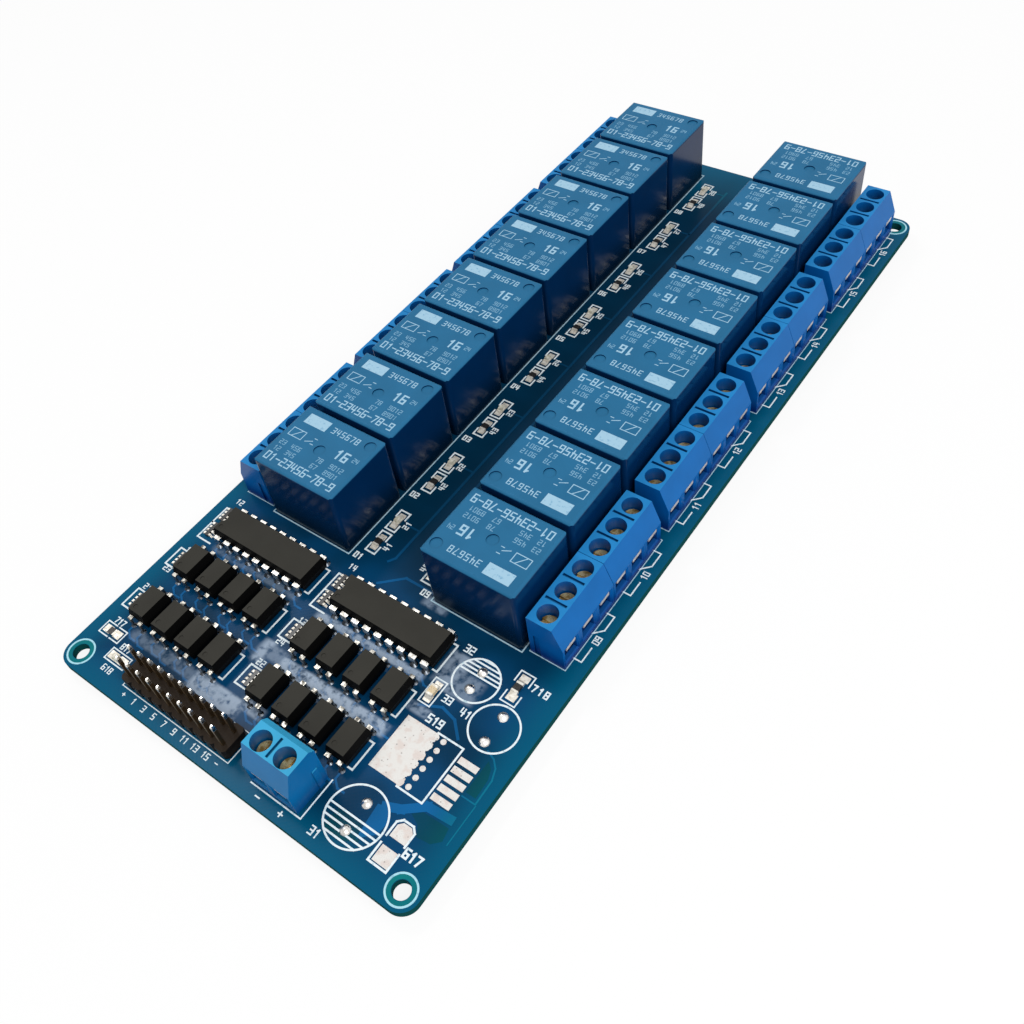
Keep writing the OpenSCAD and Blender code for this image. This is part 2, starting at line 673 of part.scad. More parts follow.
// One formed lead, from a body's parting line out and down through the board, towards +y
module formed_lead(body_w, body_h, wide) {
    z = board_t + standoff + body_h / 2;
    sill = board_t + shoulder_sill;
    out = row_span / 2 + lead_t / 2;
    stand_along_x(wide)
        polygon([[body_w / 2, z - lead_t / 2], [out - lead_t, z - lead_t / 2], [out - lead_t, sill],
                 [out, sill], [out, z + lead_t / 2], [body_w / 2, z + lead_t / 2]]);
    translate([-tail_w / 2, out - lead_t, -tail_out]) cube([tail_w, lead_t, tail_out + sill]);
}
module driver_leads() {
    color("#d8d4cc") for (p = CHIP_LEAD_AT)
        translate([p[0], p[1], 0]) mirror([0, p[2] < 0 ? 1 : 0, 0])
            formed_lead(chip_w, chip_h, shoulder_w);
}
module optocoupler_leads() {
    color("#d8d4cc") for (p = OPTO_LEAD_AT)
        translate([p[0], p[1], 0]) mirror([0, p[2] < 0 ? 1 : 0, 0])
            formed_lead(opto_w, opto_h, opto_shoulder_w);
}

// A group of four-lead optocouplers
module optocouplers(index) {
    color("#403d38") for (i = [0 : optos_per_group - 1])
        translate([OPTO_ROWS[index - 1][0] + opto_at(i), OPTO_ROWS[index - 1][1], 0]) difference() {
            moulded_body(opto_len, opto_w, opto_h);
            first_lead_mark(opto_len, opto_w, opto_h);
        }
}

// The header's strip: one chamfered cell for each column, drilled for its two pins
module header_strip() {
    c = header_chamfer;
    l = lead_pitch / 2;
    color("#23201e") translate([0, 0, board_t]) linear_extrude(header_h) difference() {
        for (i = [0 : header_cols - 1])
            translate([-header_x + (i - (header_cols - 1) / 2) * lead_pitch, header_y])
                polygon([[-l - eps / 2, -2 * l + c], [-l + c, -2 * l], [l - c, -2 * l],
                         [l + eps / 2, -2 * l + c], [l + eps / 2, 2 * l - c], [l - c, 2 * l],
                         [-l + c, 2 * l], [-l - eps / 2, 2 * l - c]]);
        for (p = HEADER_PIN_AT) translate(p) square(header_pin_w, center = true);
    }
}

// Square header pins with tapered tips
module header_pins() {
    w = header_pin_w;
    bottom = -tail_out;
    top = board_t + header_top;
    color("#c8c2b0") for (p = HEADER_PIN_AT) translate([p[0], p[1], 0]) intersection() {
        stand_along_x(w) pin_profile(w, bottom, top);
        stand_along_y(w) pin_profile(w, bottom, top);
    }
}
module pin_profile(w, bottom, top) {
    polygon([[-w / 4, bottom], [w / 4, bottom], [w / 2, bottom + header_tip], [w / 2, top - header_tip],
             [w / 4, top], [-w / 4, top], [-w / 2, top - header_tip], [-w / 2, bottom + header_tip]]);
}

// Body of a chip part between its metal ends, lying along X
module chip_part(h) {
    l = chip_part_l - 2 * end_cap_l;
    translate([-l / 2, -chip_part_w / 2, seat_z]) cube([l, chip_part_w, h]);
}
// Lens of a light-emitting diode on its small base, lying along X
module led_part() {
    base_h = led_h / 3;
    l = chip_part_l - 2 * end_cap_l;
    w = chip_part_w - 2 * lens_inset;
    translate([0, 0, seat_z]) {
        translate([-l / 2, -chip_part_w / 2, 0]) cube([l, chip_part_w, base_h]);
        translate([0, 0, base_h - eps]) intersection() {
            stand_along_y(w) lens_profile(l, led_h - base_h);
            stand_along_x(l) lens_profile(w, led_h - base_h);
        }
    }
}
module lens_profile(w, h) {
    polygon([[-w / 2, 0], [w / 2, 0], [w / 2 - lens_draft, h], [lens_draft - w / 2, h]]);
}
module along_y_at(places) {
    for (p = places) translate(p) rotate(90) children();
}
module channel_leds() {
    color("#e8e4d4") along_y_at(CHANNEL_LEDS) led_part();
}
module supply_led() {
    color("#e8e4d4") translate(supply_led_at) led_part();
}
module chip_resistors() {
    color("#1c1b1a") {
        along_y_at(concat(CHANNEL_RESISTORS, [near_res_at])) chip_part(resistor_h);
        translate(supply_res_at) chip_part(resistor_h);
    }
}
module chip_capacitor() {
    color("#b09068") along_y_at([near_cap_at]) chip_part(capacitor_h);
}

// Ceramic bodies of the resistor arrays, with a half-round bay between neighbouring ends
module resistor_arrays() {
    color("#26231f") for (p = ARRAYS) translate([p[0], p[1], seat_z]) linear_extrude(resistor_h) difference() {
        square([array_w - 2 * end_cap_l, array_l], center = true);
        for (x = SIDES, i = [1 : array_count - 1])
            translate([x * (array_w / 2 - end_cap_l), (i - array_count / 2) * array_l / array_count])
                circle(d = array_bay_d, $fn = 16);
    }
}

// Metal end of a chip part with its solder fillet, against the body's end at x = 0, towards +x
module end_cap(w, h) {
    foot = end_cap_l + fillet_l;
    top = h + end_cap_t;
    translate([0, 0, board_t]) stand_along_y(w)
        polygon([[0, 0], [foot, 0], [foot, fillet_edge], [end_cap_l, h * fillet_climb], [end_cap_l, top],
                 [0, top]]);
}
module two_ends(h) {
    for (x = SIDES)
        mirror([x < 0 ? 1 : 0, 0, 0]) translate([chip_part_l / 2 - end_cap_l, 0, 0]) end_cap(chip_part_w, h);
}
module chip_part_ends() {
    color("#dcd8d0") {
        along_y_at(concat(CHANNEL_RESISTORS, [near_res_at])) two_ends(resistor_h);
        along_y_at(CHANNEL_LEDS) two_ends(led_h / 3);
        along_y_at([near_cap_at]) two_ends(capacitor_h);
        translate(supply_led_at) two_ends(led_h / 3);
        translate(supply_res_at) two_ends(resistor_h);
        for (p = ARRAYS, x = SIDES, i = [0 : array_count - 1])
            translate([p[0], p[1] + (i - (array_count - 1) / 2) * array_l / array_count, 0])
                mirror([x < 0 ? 1 : 0, 0, 0]) translate([array_w / 2 - end_cap_l, 0, 0])
                    end_cap(array_end_w, resistor_h);
    }
}

// Tinned copper of the empty places: regulator tab and leads, the diode's two pads and the filled vias
module tinned_pads() {
    color("#e4ded6") {
        translate([0, 0, board_t]) linear_extrude(pad_t) {
            tab_pad();
            for (i = [0 : lead_pads - 1])
                translate([lead_pads_x, tab_at[1] + (i - (lead_pads - 1) / 2) * lead_pad_pitch])
                    square([lead_pad_w, lead_pad_l], center = true);
            translate([diode_x, diode_near_y]) square(diode_pad, center = true);
            translate([diode_x, diode_far_y]) chamfered_pad();
        }
        for (y = VIA_Y) translate([via_x, y, 0]) filled_via();
    }
}
// The regulator's tab pad, with a row of half lands along its edge beside the vias
module tab_pad() {
    translate(tab_at) square([tab_w, tab_l], center = true);
    for (y = VIA_Y) translate([tab_at[0] + tab_w / 2, y]) circle(d = via_land_d, $fn = 24);
}
// The diode's far pad, its two far corners cut off
module chamfered_pad() {
    w = diode_pad[0] / 2;
    l = diode_pad[1] / 2;
    polygon([[-w, -l], [w, -l], [w, l - pad_chamfer], [w - pad_chamfer, l], [pad_chamfer - w, l],
             [-w, l - pad_chamfer]]);
}
// A small through hole filled with solder: a land on each side, joined through the board
module filled_via() {
    land = via_land_d / 2;
    top = board_t + pad_t;
    rotate_extrude($fn = 24)
        polygon([[0, -pad_t], [land, -pad_t], [land, 0], [via_d / 2, 0], [via_d / 2, board_t], [land, board_t],
                 [land, top], [0, top]]);
}

// Solder standing in the holes of the empty places: a low dome on each side, joined through the hole
module solder_domes() {
    color("#dcd8d0") for (p = EMPTY_HOLES) translate([p[0], p[1], 0]) rotate_extrude($fn = 24) {
        translate([0, -eps]) square([empty_hole_d / 2, board_t + 2 * eps]);
        translate([0, board_t]) dome_section();
        mirror([0, 1]) dome_section();
    }
}
module dome_section() {
    r = dome_d / 2;
    sphere_r = (r * r + dome_h * dome_h) / (2 * dome_h);
    intersection() {
        translate([0, dome_h - sphere_r]) circle(sphere_r);
        square([r, dome_h]);
    }
}

// Solder cone round a lead that leaves the underside at the origin, hollow-sided and blunt at its tip
module solder_cone(lead_d, base_d) {
    lead_r = lead_d / 2;
    rotate_extrude($fn = 24) polygon([[lead_r, 0], [base_d / 2, 0], [base_d / 2, -cone_edge],
        [lead_r + cone_waist, -cone_h / 2], [lead_r + cone_edge, -cone_h], [lead_r, -cone_h]]);
}
module solder_cones() {
    color("#dcd8d0") {
        for (p = RELAY_PIN_AT) translate(p) solder_cone(relay_pin_d, cone_d);
        for (p = concat(BLOCK_PIN_AT, SUPPLY_PIN_AT)) translate(p) solder_cone(block_pin_d, cone_d);
        for (p = concat(CHIP_LEAD_AT, OPTO_LEAD_AT))
            translate([p[0], p[1] + p[2] * row_span / 2]) solder_cone(norm([tail_w, lead_t]), small_cone_d);
        for (p = HEADER_PIN_AT) translate(p) solder_cone(norm([header_pin_w, header_pin_w]), small_cone_d);
    }
}

pcb();
relay(1);  // relay_1
relay(2);  // relay_2
relay(3);  // relay_3
relay(4);  // relay_4
relay(5);  // relay_5
relay(6);  // relay_6
relay(7);  // relay_7
relay(8);  // relay_8
relay(9);  // relay_9
relay(10);  // relay_10
relay(11);  // relay_11
relay(12);  // relay_12
relay(13);  // relay_13
relay(14);  // relay_14
relay(15);  // relay_15
relay(16);  // relay_16
relay_pins();
terminal_block(1);  // terminal_block_1
terminal_block(2);  // terminal_block_2
terminal_block(3);  // terminal_block_3
terminal_block(4);  // terminal_block_4
terminal_block(5);  // terminal_block_5
terminal_block(6);  // terminal_block_6
terminal_block(7);  // terminal_block_7
terminal_block(8);  // terminal_block_8
terminal_block(9);  // terminal_block_9
terminal_block(10);  // terminal_block_10
terminal_block(11);  // terminal_block_11
terminal_block(12);  // terminal_block_12
terminal_block(13);  // terminal_block_13
terminal_block(14);  // terminal_block_14
terminal_block(15);  // terminal_block_15
terminal_block(16);  // terminal_block_16
supply_terminal();
clamp_screws();
wire_clamps();
terminal_contacts();
driver_chip(1);  // driver_chip_1
driver_chip(2);  // driver_chip_2
driver_leads();
optocouplers(1);  // optocouplers_1
optocouplers(2);  // optocouplers_2
optocouplers(3);  // optocouplers_3
optocouplers(4);  // optocouplers_4
optocoupler_leads();
header_strip();
header_pins();
channel_leds();
supply_led();
chip_resistors();
resistor_arrays();
chip_capacitor();
chip_part_ends();
tinned_pads();
solder_domes();
solder_cones();
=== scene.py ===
"""Looks of a sixteen-channel relay board: the finish of every solid, the white print on the board and
on the relays, the copper under the solder mask, the solder round the leads, and the studio.

Sizes are in millimetres until a mesh is finished, and places come from the frame's own boxes."""

import logging
import math
from collections.abc import Iterable, Sequence
from dataclasses import dataclass, field
from enum import Enum

import bmesh
import bpy
from mathutils import Matrix, Vector


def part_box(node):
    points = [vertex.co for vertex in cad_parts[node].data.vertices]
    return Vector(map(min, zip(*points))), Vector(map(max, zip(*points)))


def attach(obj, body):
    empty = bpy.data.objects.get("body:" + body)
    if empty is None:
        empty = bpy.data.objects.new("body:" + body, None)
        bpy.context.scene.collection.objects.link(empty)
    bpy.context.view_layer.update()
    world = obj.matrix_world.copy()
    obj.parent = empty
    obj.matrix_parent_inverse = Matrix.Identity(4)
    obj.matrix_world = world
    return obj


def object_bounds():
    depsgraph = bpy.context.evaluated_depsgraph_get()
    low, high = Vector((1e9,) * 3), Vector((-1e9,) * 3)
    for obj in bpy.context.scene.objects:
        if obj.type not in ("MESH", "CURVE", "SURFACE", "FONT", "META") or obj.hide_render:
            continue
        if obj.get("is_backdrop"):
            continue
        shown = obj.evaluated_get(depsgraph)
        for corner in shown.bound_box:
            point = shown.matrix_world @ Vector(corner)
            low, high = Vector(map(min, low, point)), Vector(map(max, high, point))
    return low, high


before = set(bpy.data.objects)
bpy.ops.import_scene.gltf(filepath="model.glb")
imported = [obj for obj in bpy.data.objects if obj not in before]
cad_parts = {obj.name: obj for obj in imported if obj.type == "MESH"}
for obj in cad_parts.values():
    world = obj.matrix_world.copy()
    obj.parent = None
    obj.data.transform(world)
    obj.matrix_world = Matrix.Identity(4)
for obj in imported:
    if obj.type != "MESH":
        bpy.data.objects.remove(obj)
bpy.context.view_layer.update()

MM = 0.001
ROOT = "root"
LOG = logging.getLogger("relay_board")
Point = tuple[float, float]


def linear(hex_colour: str) -> tuple[float, float, float, float]:
    """Turns an sRGB hex colour into the linear values that a shader takes.

    Args:
        hex_colour: Six hex digits after a hash.

    Returns:
        Red, green, blue and an alpha of 1.
    """
    shares = [int(hex_colour[i:i + 2], 16) / 255 for i in (1, 3, 5)]
    return (*[s / 12.92 if s <= 0.04045 else ((s + 0.055) / 1.055) ** 2.4 for s in shares], 1.0)


def add_node(tree: bpy.types.NodeTree, kind: str, settings: dict | None = None,
             links: dict | None = None) -> bpy.types.Node:
    """Adds one node with its settings and its incoming links.

    Args:
        tree: The material's or the world's node tree.
        kind: Blender's name for the node type.
        settings: Properties and socket values, by name, or by number where names repeat.
        links: Output sockets to connect, by the name or number of the input socket.

    Returns:
        The new node.
    """
    node = tree.nodes.new(kind)
    for name, value in (settings or {}).items():
        if isinstance(name, int) or (name in node.inputs and not hasattr(node, name)):
            node.inputs[name].default_value = value
        else:
            setattr(node, name, value)
    for name, source in (links or {}).items():
        tree.links.new(source, node.inputs[name])
    return node


def box_mm(node: str) -> tuple[Vector, Vector]:
    """Gives the lowest and highest corner of a solid's box in millimetres."""
    low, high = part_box(node)
    return low / MM, high / MM


# ---------------------------------------------------------------------------------------------- finishes


class Shader:
    """A new material: its tree, its Principled shader and the coordinates of the object."""

    def __init__(self, name: str, sockets: dict[str, float]) -> None:
        """Starts the material and sets what is the same all over on the shader's own sockets.

        Args:
            name: The finish's plain name.
            sockets: Values of the Principled shader's sockets, by name.
        """
        self.material = bpy.data.materials.new(name)
        self.material.use_nodes = True
        self.tree = self.material.node_tree
        self.surface = self.tree.nodes["Principled BSDF"]
        for socket, value in sockets.items():
            self.surface.inputs[socket].default_value = value
        self.place = add_node(self.tree, "ShaderNodeTexCoord")
        self.axes = self.add("ShaderNodeSeparateXYZ", links={"Vector": self.place.outputs["Object"]})

    def add(self, kind: str, settings: dict | None = None, links: dict | None = None) -> bpy.types.Node:
        """Adds a node to this material's tree."""
        return add_node(self.tree, kind, settings, links)

    def math(self, operation: str, *values: float | bpy.types.NodeSocket) -> bpy.types.NodeSocket:
        """Works out a number in the tree.

        Args:
            operation: The Math node's operation.
            values: Numbers or output sockets, in order.

        Returns:
            The output socket.
        """
        settings = {i: v for i, v in enumerate(values) if isinstance(v, (int, float))}
        links = {i: v for i, v in enumerate(values) if not isinstance(v, (int, float))}
        return self.add("ShaderNodeMath", {"operation": operation, **settings}, links).outputs[0]

    def noise(self, size_mm: float, detail: float = 2.0) -> bpy.types.NodeSocket:
        """Gives a value from 0 to 1 that varies over about size_mm."""
        return self.add("ShaderNodeTexNoise", {"Scale": 1 / (size_mm * MM), "Detail": detail},
                        {"Vector": self.place.outputs["Object"]}).outputs["Fac"]

    def ramp(self, value: bpy.types.NodeSocket, low: float, high: float, to_low: float = 0.0,
             to_high: float = 1.0) -> bpy.types.NodeSocket:
        """Maps a value smoothly from one range to another, and holds it at the ends."""
        settings = {"interpolation_type": "SMOOTHSTEP", "From Min": low, "From Max": high, "To Min": to_low,
                    "To Max": to_high}
        return self.add("ShaderNodeMapRange", settings, {"Value": value}).outputs[0]

    def blend(self, share: bpy.types.NodeSocket, first: float, second: float) -> bpy.types.NodeSocket:
        """Gives a number between two others, by a share of the second."""
        ends = {"To Min": first, "To Max": second}
        return self.add("ShaderNodeMapRange", ends, {"Value": share}).outputs[0]

    def mix(self, share: bpy.types.NodeSocket, first: str | bpy.types.NodeSocket,
            second: str | bpy.types.NodeSocket) -> bpy.types.NodeSocket:
        """Mixes two colours, each a hex colour or an output socket, by a share of the second."""
        settings: dict = {"data_type": "RGBA"}
        links = {0: share}
        for socket, colour in ((6, first), (7, second)):
            if isinstance(colour, str):
                settings[socket] = linear(colour)
            else:
                links[socket] = colour
        return self.add("ShaderNodeMix", settings, links).outputs[2]

    def facing_up(self) -> bpy.types.NodeSocket:
        """Gives 1 on faces that look up, 0 on upright and lower ones, and blends over round edges."""
        normal = self.add("ShaderNodeSeparateXYZ", links={"Vector": self.place.outputs["Normal"]})
        return self.ramp(normal.outputs["Z"], 0.25, 0.65)

    def bump(self, height: bpy.types.NodeSocket, depth_mm: float) -> None:
        """Roughens the surface by a height pattern of the given depth."""
        node = self.add("ShaderNodeBump", {"Strength": 1.0, "Distance": depth_mm * MM}, {"Height": height})
        self.tree.links.new(node.outputs["Normal"], self.surface.inputs["Normal"])

    def paint(self, socket: str, value: bpy.types.NodeSocket) -> None:
        """Links a pattern to one of the shader's sockets."""
        self.tree.links.new(value, self.surface.inputs[socket])


# Patches of painted reflection, a whitish glare, between soldered rows: x, distance from the control edge,
# half width, half depth, densest share.
PAINTED_GLARE_PLACES = (
    (7.0, 21.0, 11.0, 0.9, 0.95), (6.0, 31.7, 11.0, 0.4, 0.8), (-10.0, 10.2, 5.0, 1.6, 0.9),
    (-22.0, 10.9, 9.0, 0.8, 0.3), (-22.0, 32.2, 10.0, 0.4, 0.25), (-8.8, 21.0, 0.35, 2.0, 0.8),
    (-6.5, 21.6, 1.6, 1.0, 0.4), (21.3, 35.6, 1.3, 3.0, 0.6), (21.0, 26.9, 1.2, 0.5, 0.6),
    (24.2, 34.0, 2.6, 2.0, 0.45), (-2.6, 12.0, 1.6, 0.8, 0.7), (11.0, 44.2, 1.6, 0.8, 0.5),
)


@dataclass(frozen=True)
class SolderMask:
    """Glossy blue epoxy mask, screened and cured over glass cloth: deep blue inside, darker between the
    relays as painted shade, teal where light comes in near the edges, and whitish in patches between the
    soldered rows as a painted reflection of glare.
    The weave of the cloth just shows in its gloss, and is drawn a little coarser than real so that it does.
    The sawn edge is matt."""

    name: str = "solder_mask_epoxy"
    inside: str = "#02304d"
    cloud: str = "#06416a"
    # The next colour is painted shade: the board darkened between the two rows of relays.
    strip: str = "#022c44"
    rim: str = "#035474"
    edge: str = "#0a4648"
    # The next colour is a painted reflection: whitish glare on the mask.
    residue: str = "#9fb0c4"
    rim_width: float = 8.0
    far_rim: Point = (20.0, 2.0)
    strip_from: Point = (37.0, 59.0)
    strip_share: float = 0.85
    cloud_size: float = 14.0
    cloud_range: Point = (0.35, 0.65)
    flux_fade: Point = (1.6, 0.7)
    flux_grain: float = 1.2
    flux_range: Point = (0.25, 0.58)
    weave_pitch: float = 0.9
    weave_depth: float = 0.0012
    gloss: float = 0.05
    roughness: float = 0.22
    sawn_roughness: float = 1.0

    def build(self) -> bpy.types.Material:
        """Builds the material."""
        low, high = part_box("pcb")
        shader = Shader(self.name, {"Specular IOR Level": self.gloss})
        x_room = shader.math("SUBTRACT", high.x, shader.math("ABSOLUTE", shader.axes.outputs["X"]))
        y_room = shader.math("SUBTRACT", high.y, shader.math("ABSOLUTE", shader.axes.outputs["Y"]))
        near_rim = shader.ramp(shader.math("MINIMUM", x_room, y_room), 0.0, self.rim_width * MM, 1.0, 0.0)
        far_rim = shader.ramp(shader.axes.outputs["Y"], *(high.y - room * MM for room in self.far_rim))
        near_rim = shader.math("MAXIMUM", near_rim, far_rim)
        clouds = shader.ramp(shader.noise(self.cloud_size), *self.cloud_range)
        body = shader.mix(clouds, self.inside, self.cloud)
        # Painted shade: from the relay rows back, the board takes the darker strip colour for the shade
        # between the relays.
        strip = shader.ramp(shader.axes.outputs["Y"], *(low.y + start * MM for start in self.strip_from),
                            0.0, self.strip_share)
        body = shader.mix(near_rim, shader.mix(strip, body, self.strip), self.rim)
        # Painted reflection: whitish glare in patches between the soldered rows.
        body = shader.mix(self.flux_share(shader, low.y), body, self.residue)
        normal = shader.add("ShaderNodeSeparateXYZ", links={"Vector": shader.place.outputs["Normal"]})
        flat = shader.ramp(shader.math("ABSOLUTE", normal.outputs["Z"]), 0.4, 0.6)
        shader.paint("Base Color", shader.mix(flat, self.edge, body))
        shader.paint("Roughness", shader.ramp(flat, 0.0, 1.0, self.sawn_roughness, self.roughness))
        turns = math.tau / (self.weave_pitch * MM)
        across = shader.math("SINE", shader.math("MULTIPLY", shader.axes.outputs["X"], turns))
        along = shader.math("SINE", shader.math("MULTIPLY", shader.axes.outputs["Y"], turns))
        shader.bump(shader.math("MULTIPLY", across, along), self.weave_depth)
        return shader.material

    def flux_share(self, shader: Shader, front: float) -> bpy.types.NodeSocket:
        """Gives how far a painted reflection, a whitish glare, pales the mask between the soldered rows,
        broken up by a fine noise.

        Args:
            shader: The material in the making.
            front: Where the control edge lies, in metres.

        Returns:
            The share of the painted glare's colour.
        """
        share: float | bpy.types.NodeSocket = 0.0
        for x, start, half_x, half_y, most in PAINTED_GLARE_PLACES:
            reach = [shader.math("ABSOLUTE", shader.math("SUBTRACT", shader.axes.outputs[axis], middle))
                     for axis, middle in (("X", x * MM), ("Y", front + start * MM))]
            across = shader.ramp(reach[0], half_x * MM, (half_x + self.flux_fade[0]) * MM, most, 0.0)
            along = shader.ramp(reach[1], half_y * MM, (half_y + self.flux_fade[1]) * MM, 1.0, 0.0)
            share = shader.math("MAXIMUM", share, shader.math("MULTIPLY", across, along))
        grain = shader.ramp(shader.noise(self.flux_grain, 5.0), *self.flux_range)
        return shader.math("MULTIPLY", share, grain)


@dataclass(frozen=True)
class MouldedPlastic:
    """Injection-moulded plastic, one colour right through, with a sand-blasted matt top and polished shiny
    sides.
    The top is painted paler and the sides darker, partly for the blasted top's scatter and partly as painted
    light and shade, and the foot next to the board darker still, as painted shade. The blasted grain is drawn
    coarser than real, so that it shows. A deep well takes in less light, by well_shade."""

    name: str
    # Colours: top and side are painted light and shade on one plastic; foot is painted shade next to the
    # board.
    top: str
    side: str
    foot: str
    top_roughness: float = 0.55
    side_roughness: float = 0.12
    grain: float = 0.25
    grain_depth: float = 0.01
    patch: float = 6.0
    patch_range: Point = (0.94, 1.04)
    foot_height: float = 9.0
    specular: float = 0.06
    well_shade: float = 0.0
    well_reach: float = 4.0

    def build(self) -> bpy.types.Material:
        """Builds the material."""
        board_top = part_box("pcb")[1].z
        shader = Shader(self.name, {"Specular IOR Level": self.specular})
        up = shader.facing_up()
        # Painted shade: the sides darken to the foot colour towards the board.
        height = shader.ramp(shader.axes.outputs["Z"], board_top, board_top + self.foot_height * MM)
        side = shader.mix(height, self.foot, self.side)
        # Painted light: faces that look up take the paler top colour.
        colour = shader.mix(shader.math("MULTIPLY", up, height), side, self.top)
        shade = shader.ramp(shader.noise(self.patch, 3.0), 0.3, 0.7, *self.patch_range)
        if self.well_shade:
            room = shader.add("ShaderNodeAmbientOcclusion",
                              {"samples": 8, "only_local": True, "Distance": self.well_reach * MM})
            well = shader.ramp(room.outputs["AO"], 0.1, 0.7, 1 - self.well_shade, 1.0)
            shade = shader.math("MULTIPLY", shade, well)
        tinted = shader.add("ShaderNodeVectorMath", {"operation": "SCALE"},
                            {"Vector": colour, "Scale": shade})
        shader.paint("Base Color", tinted.outputs["Vector"])
        shader.paint("Roughness", shader.blend(up, self.side_roughness, self.top_roughness))
        grain = shader.math("MULTIPLY", shader.noise(self.grain, 3.0), up)
        shader.bump(grain, self.grain_depth)
        return shader.material


@dataclass(frozen=True)
class BrightMetal:
    """Tinned, plated or bare metal: bright, with soft smears of duller plating and a faint ripple."""

    name: str
    colour: str
    dull: str
    roughness: float = 0.22
    dull_roughness: float = 0.4
    smear: float = 0.8
    ripple: float = 0.35
    ripple_depth: float = 0.006
    metallic: float = 1.0

    def build(self) -> bpy.types.Material:
        """Builds the material."""
        shader = Shader(self.name, {"Metallic": self.metallic})
        smears = shader.ramp(shader.noise(self.smear, 3.0), 0.4, 0.65)
        shader.paint("Base Color", shader.mix(smears, self.colour, self.dull))
        shader.paint("Roughness", shader.blend(smears, self.roughness, self.dull_roughness))
        shader.bump(shader.noise(self.ripple), self.ripple_depth)
        return shader.material


@dataclass(frozen=True)
class PlatedPin:
    """Brass pin, bright near its tip and dark brown lower down its shaft."""

    name: str = "header_pin_brass"
    tip: str = "#f4f0e8"
    shaft: str = "#6e5b43"
    tip_from: Point = (1.5, 1.1)
    wear: float = 0.5

    def build(self) -> bpy.types.Material:
        """Builds the material."""
        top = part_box("header_pins")[1].z
        shader = Shader(self.name, {"Metallic": 1.0})
        bright = shader.ramp(shader.axes.outputs["Z"], *(top - depth * MM for depth in self.tip_from))
        worn = shader.math("MULTIPLY", bright, shader.ramp(shader.noise(self.wear), 0.25, 0.5, 0.7, 1.0))
        shader.paint("Base Color", shader.mix(worn, self.shaft, self.tip))
        shader.paint("Roughness", shader.ramp(worn, 0.0, 1.0, 0.45, 0.25))
        return shader.material


@dataclass(frozen=True)
class HotAirSolder:
    """Solder levelled by hot air on bare pads: pale and almost white, with a faint pink bloom where it set
    last, and small darker pits."""

    name: str = "hot_air_levelled_solder"
    colour: str = "#d8d6d2"
    bloom: str = "#d2c8c2"
    pit: str = "#9c9692"
    pit_pitch: float = 0.8
    pit_range: Point = (0.06, 0.22)
    bloom_size: float = 1.3
    ripple: float = 0.5
    ripple_depth: float = 0.02

    def build(self) -> bpy.types.Material:
        """Builds the material."""
        shader = Shader(self.name, {"Metallic": 0.2, "Roughness": 0.45, "Specular IOR Level": 0.2})
        cells = shader.add("ShaderNodeTexVoronoi", {"Scale": 1 / (self.pit_pitch * MM)},
                           {"Vector": shader.place.outputs["Object"]})
        pits = shader.ramp(cells.outputs["Distance"], *self.pit_range, 1.0, 0.0)
        bloom = shader.ramp(shader.noise(self.bloom_size), 0.45, 0.65)
        shader.paint("Base Color", shader.mix(pits, shader.mix(bloom, self.colour, self.bloom), self.pit))
        shader.bump(shader.noise(self.ripple, 3.0), self.ripple_depth)
        return shader.material


@dataclass(frozen=True)
class Ceramic:
    """Fired ceramic or its glass glaze, as on chip resistors and capacitors: smooth, with a fine speckle
    that is drawn coarser than real, so that it shows."""

    name: str
    colour: str
    speckle: str
    roughness: float = 0.3
    grit: float = 0.18

    def build(self) -> bpy.types.Material:
        """Builds the material."""
        shader = Shader(self.name, {"Roughness": self.roughness})
        grit = shader.ramp(shader.noise(self.grit), 0.5, 0.7)
        shader.paint("Base Color", shader.mix(grit, self.colour, self.speckle))
        return shader.material


@dataclass(frozen=True)
class LampLens:
    """Cast epoxy lens of a light-emitting diode: cloudy and nearly white, with a clear, wet-looking skin."""

    name: str = "diode_lens_epoxy"
    colour: str = "#dfdccf"
    core: str = "#b9b39c"
    haze: float = 0.7

    def build(self) -> bpy.types.Material:
        """Builds the material."""
        shader = Shader(self.name, {"Roughness": 0.3, "Coat Weight": 0.3, "Coat Roughness": 0.08})
        haze = shader.ramp(shader.noise(self.haze), 0.4, 0.7)
        shader.paint("Base Color", shader.mix(haze, self.colour, self.core))
        return shader.material


@dataclass(frozen=True)
class PrintInk:
    """Screen or pad printing ink: matt and slightly uneven, so that what is under it shows in places."""

    name: str
    colour: str
    thin: str
    wear: float = 0.6

    def build(self) -> bpy.types.Material:
        """Builds the material."""
        shader = Shader(self.name, {"Roughness": 0.6, "Specular IOR Level": 0.3})
        worn = shader.ramp(shader.noise(self.wear, 3.0), 0.52, 0.75)
        shader.paint("Base Color", shader.mix(worn, self.colour, self.thin))
        return shader.material


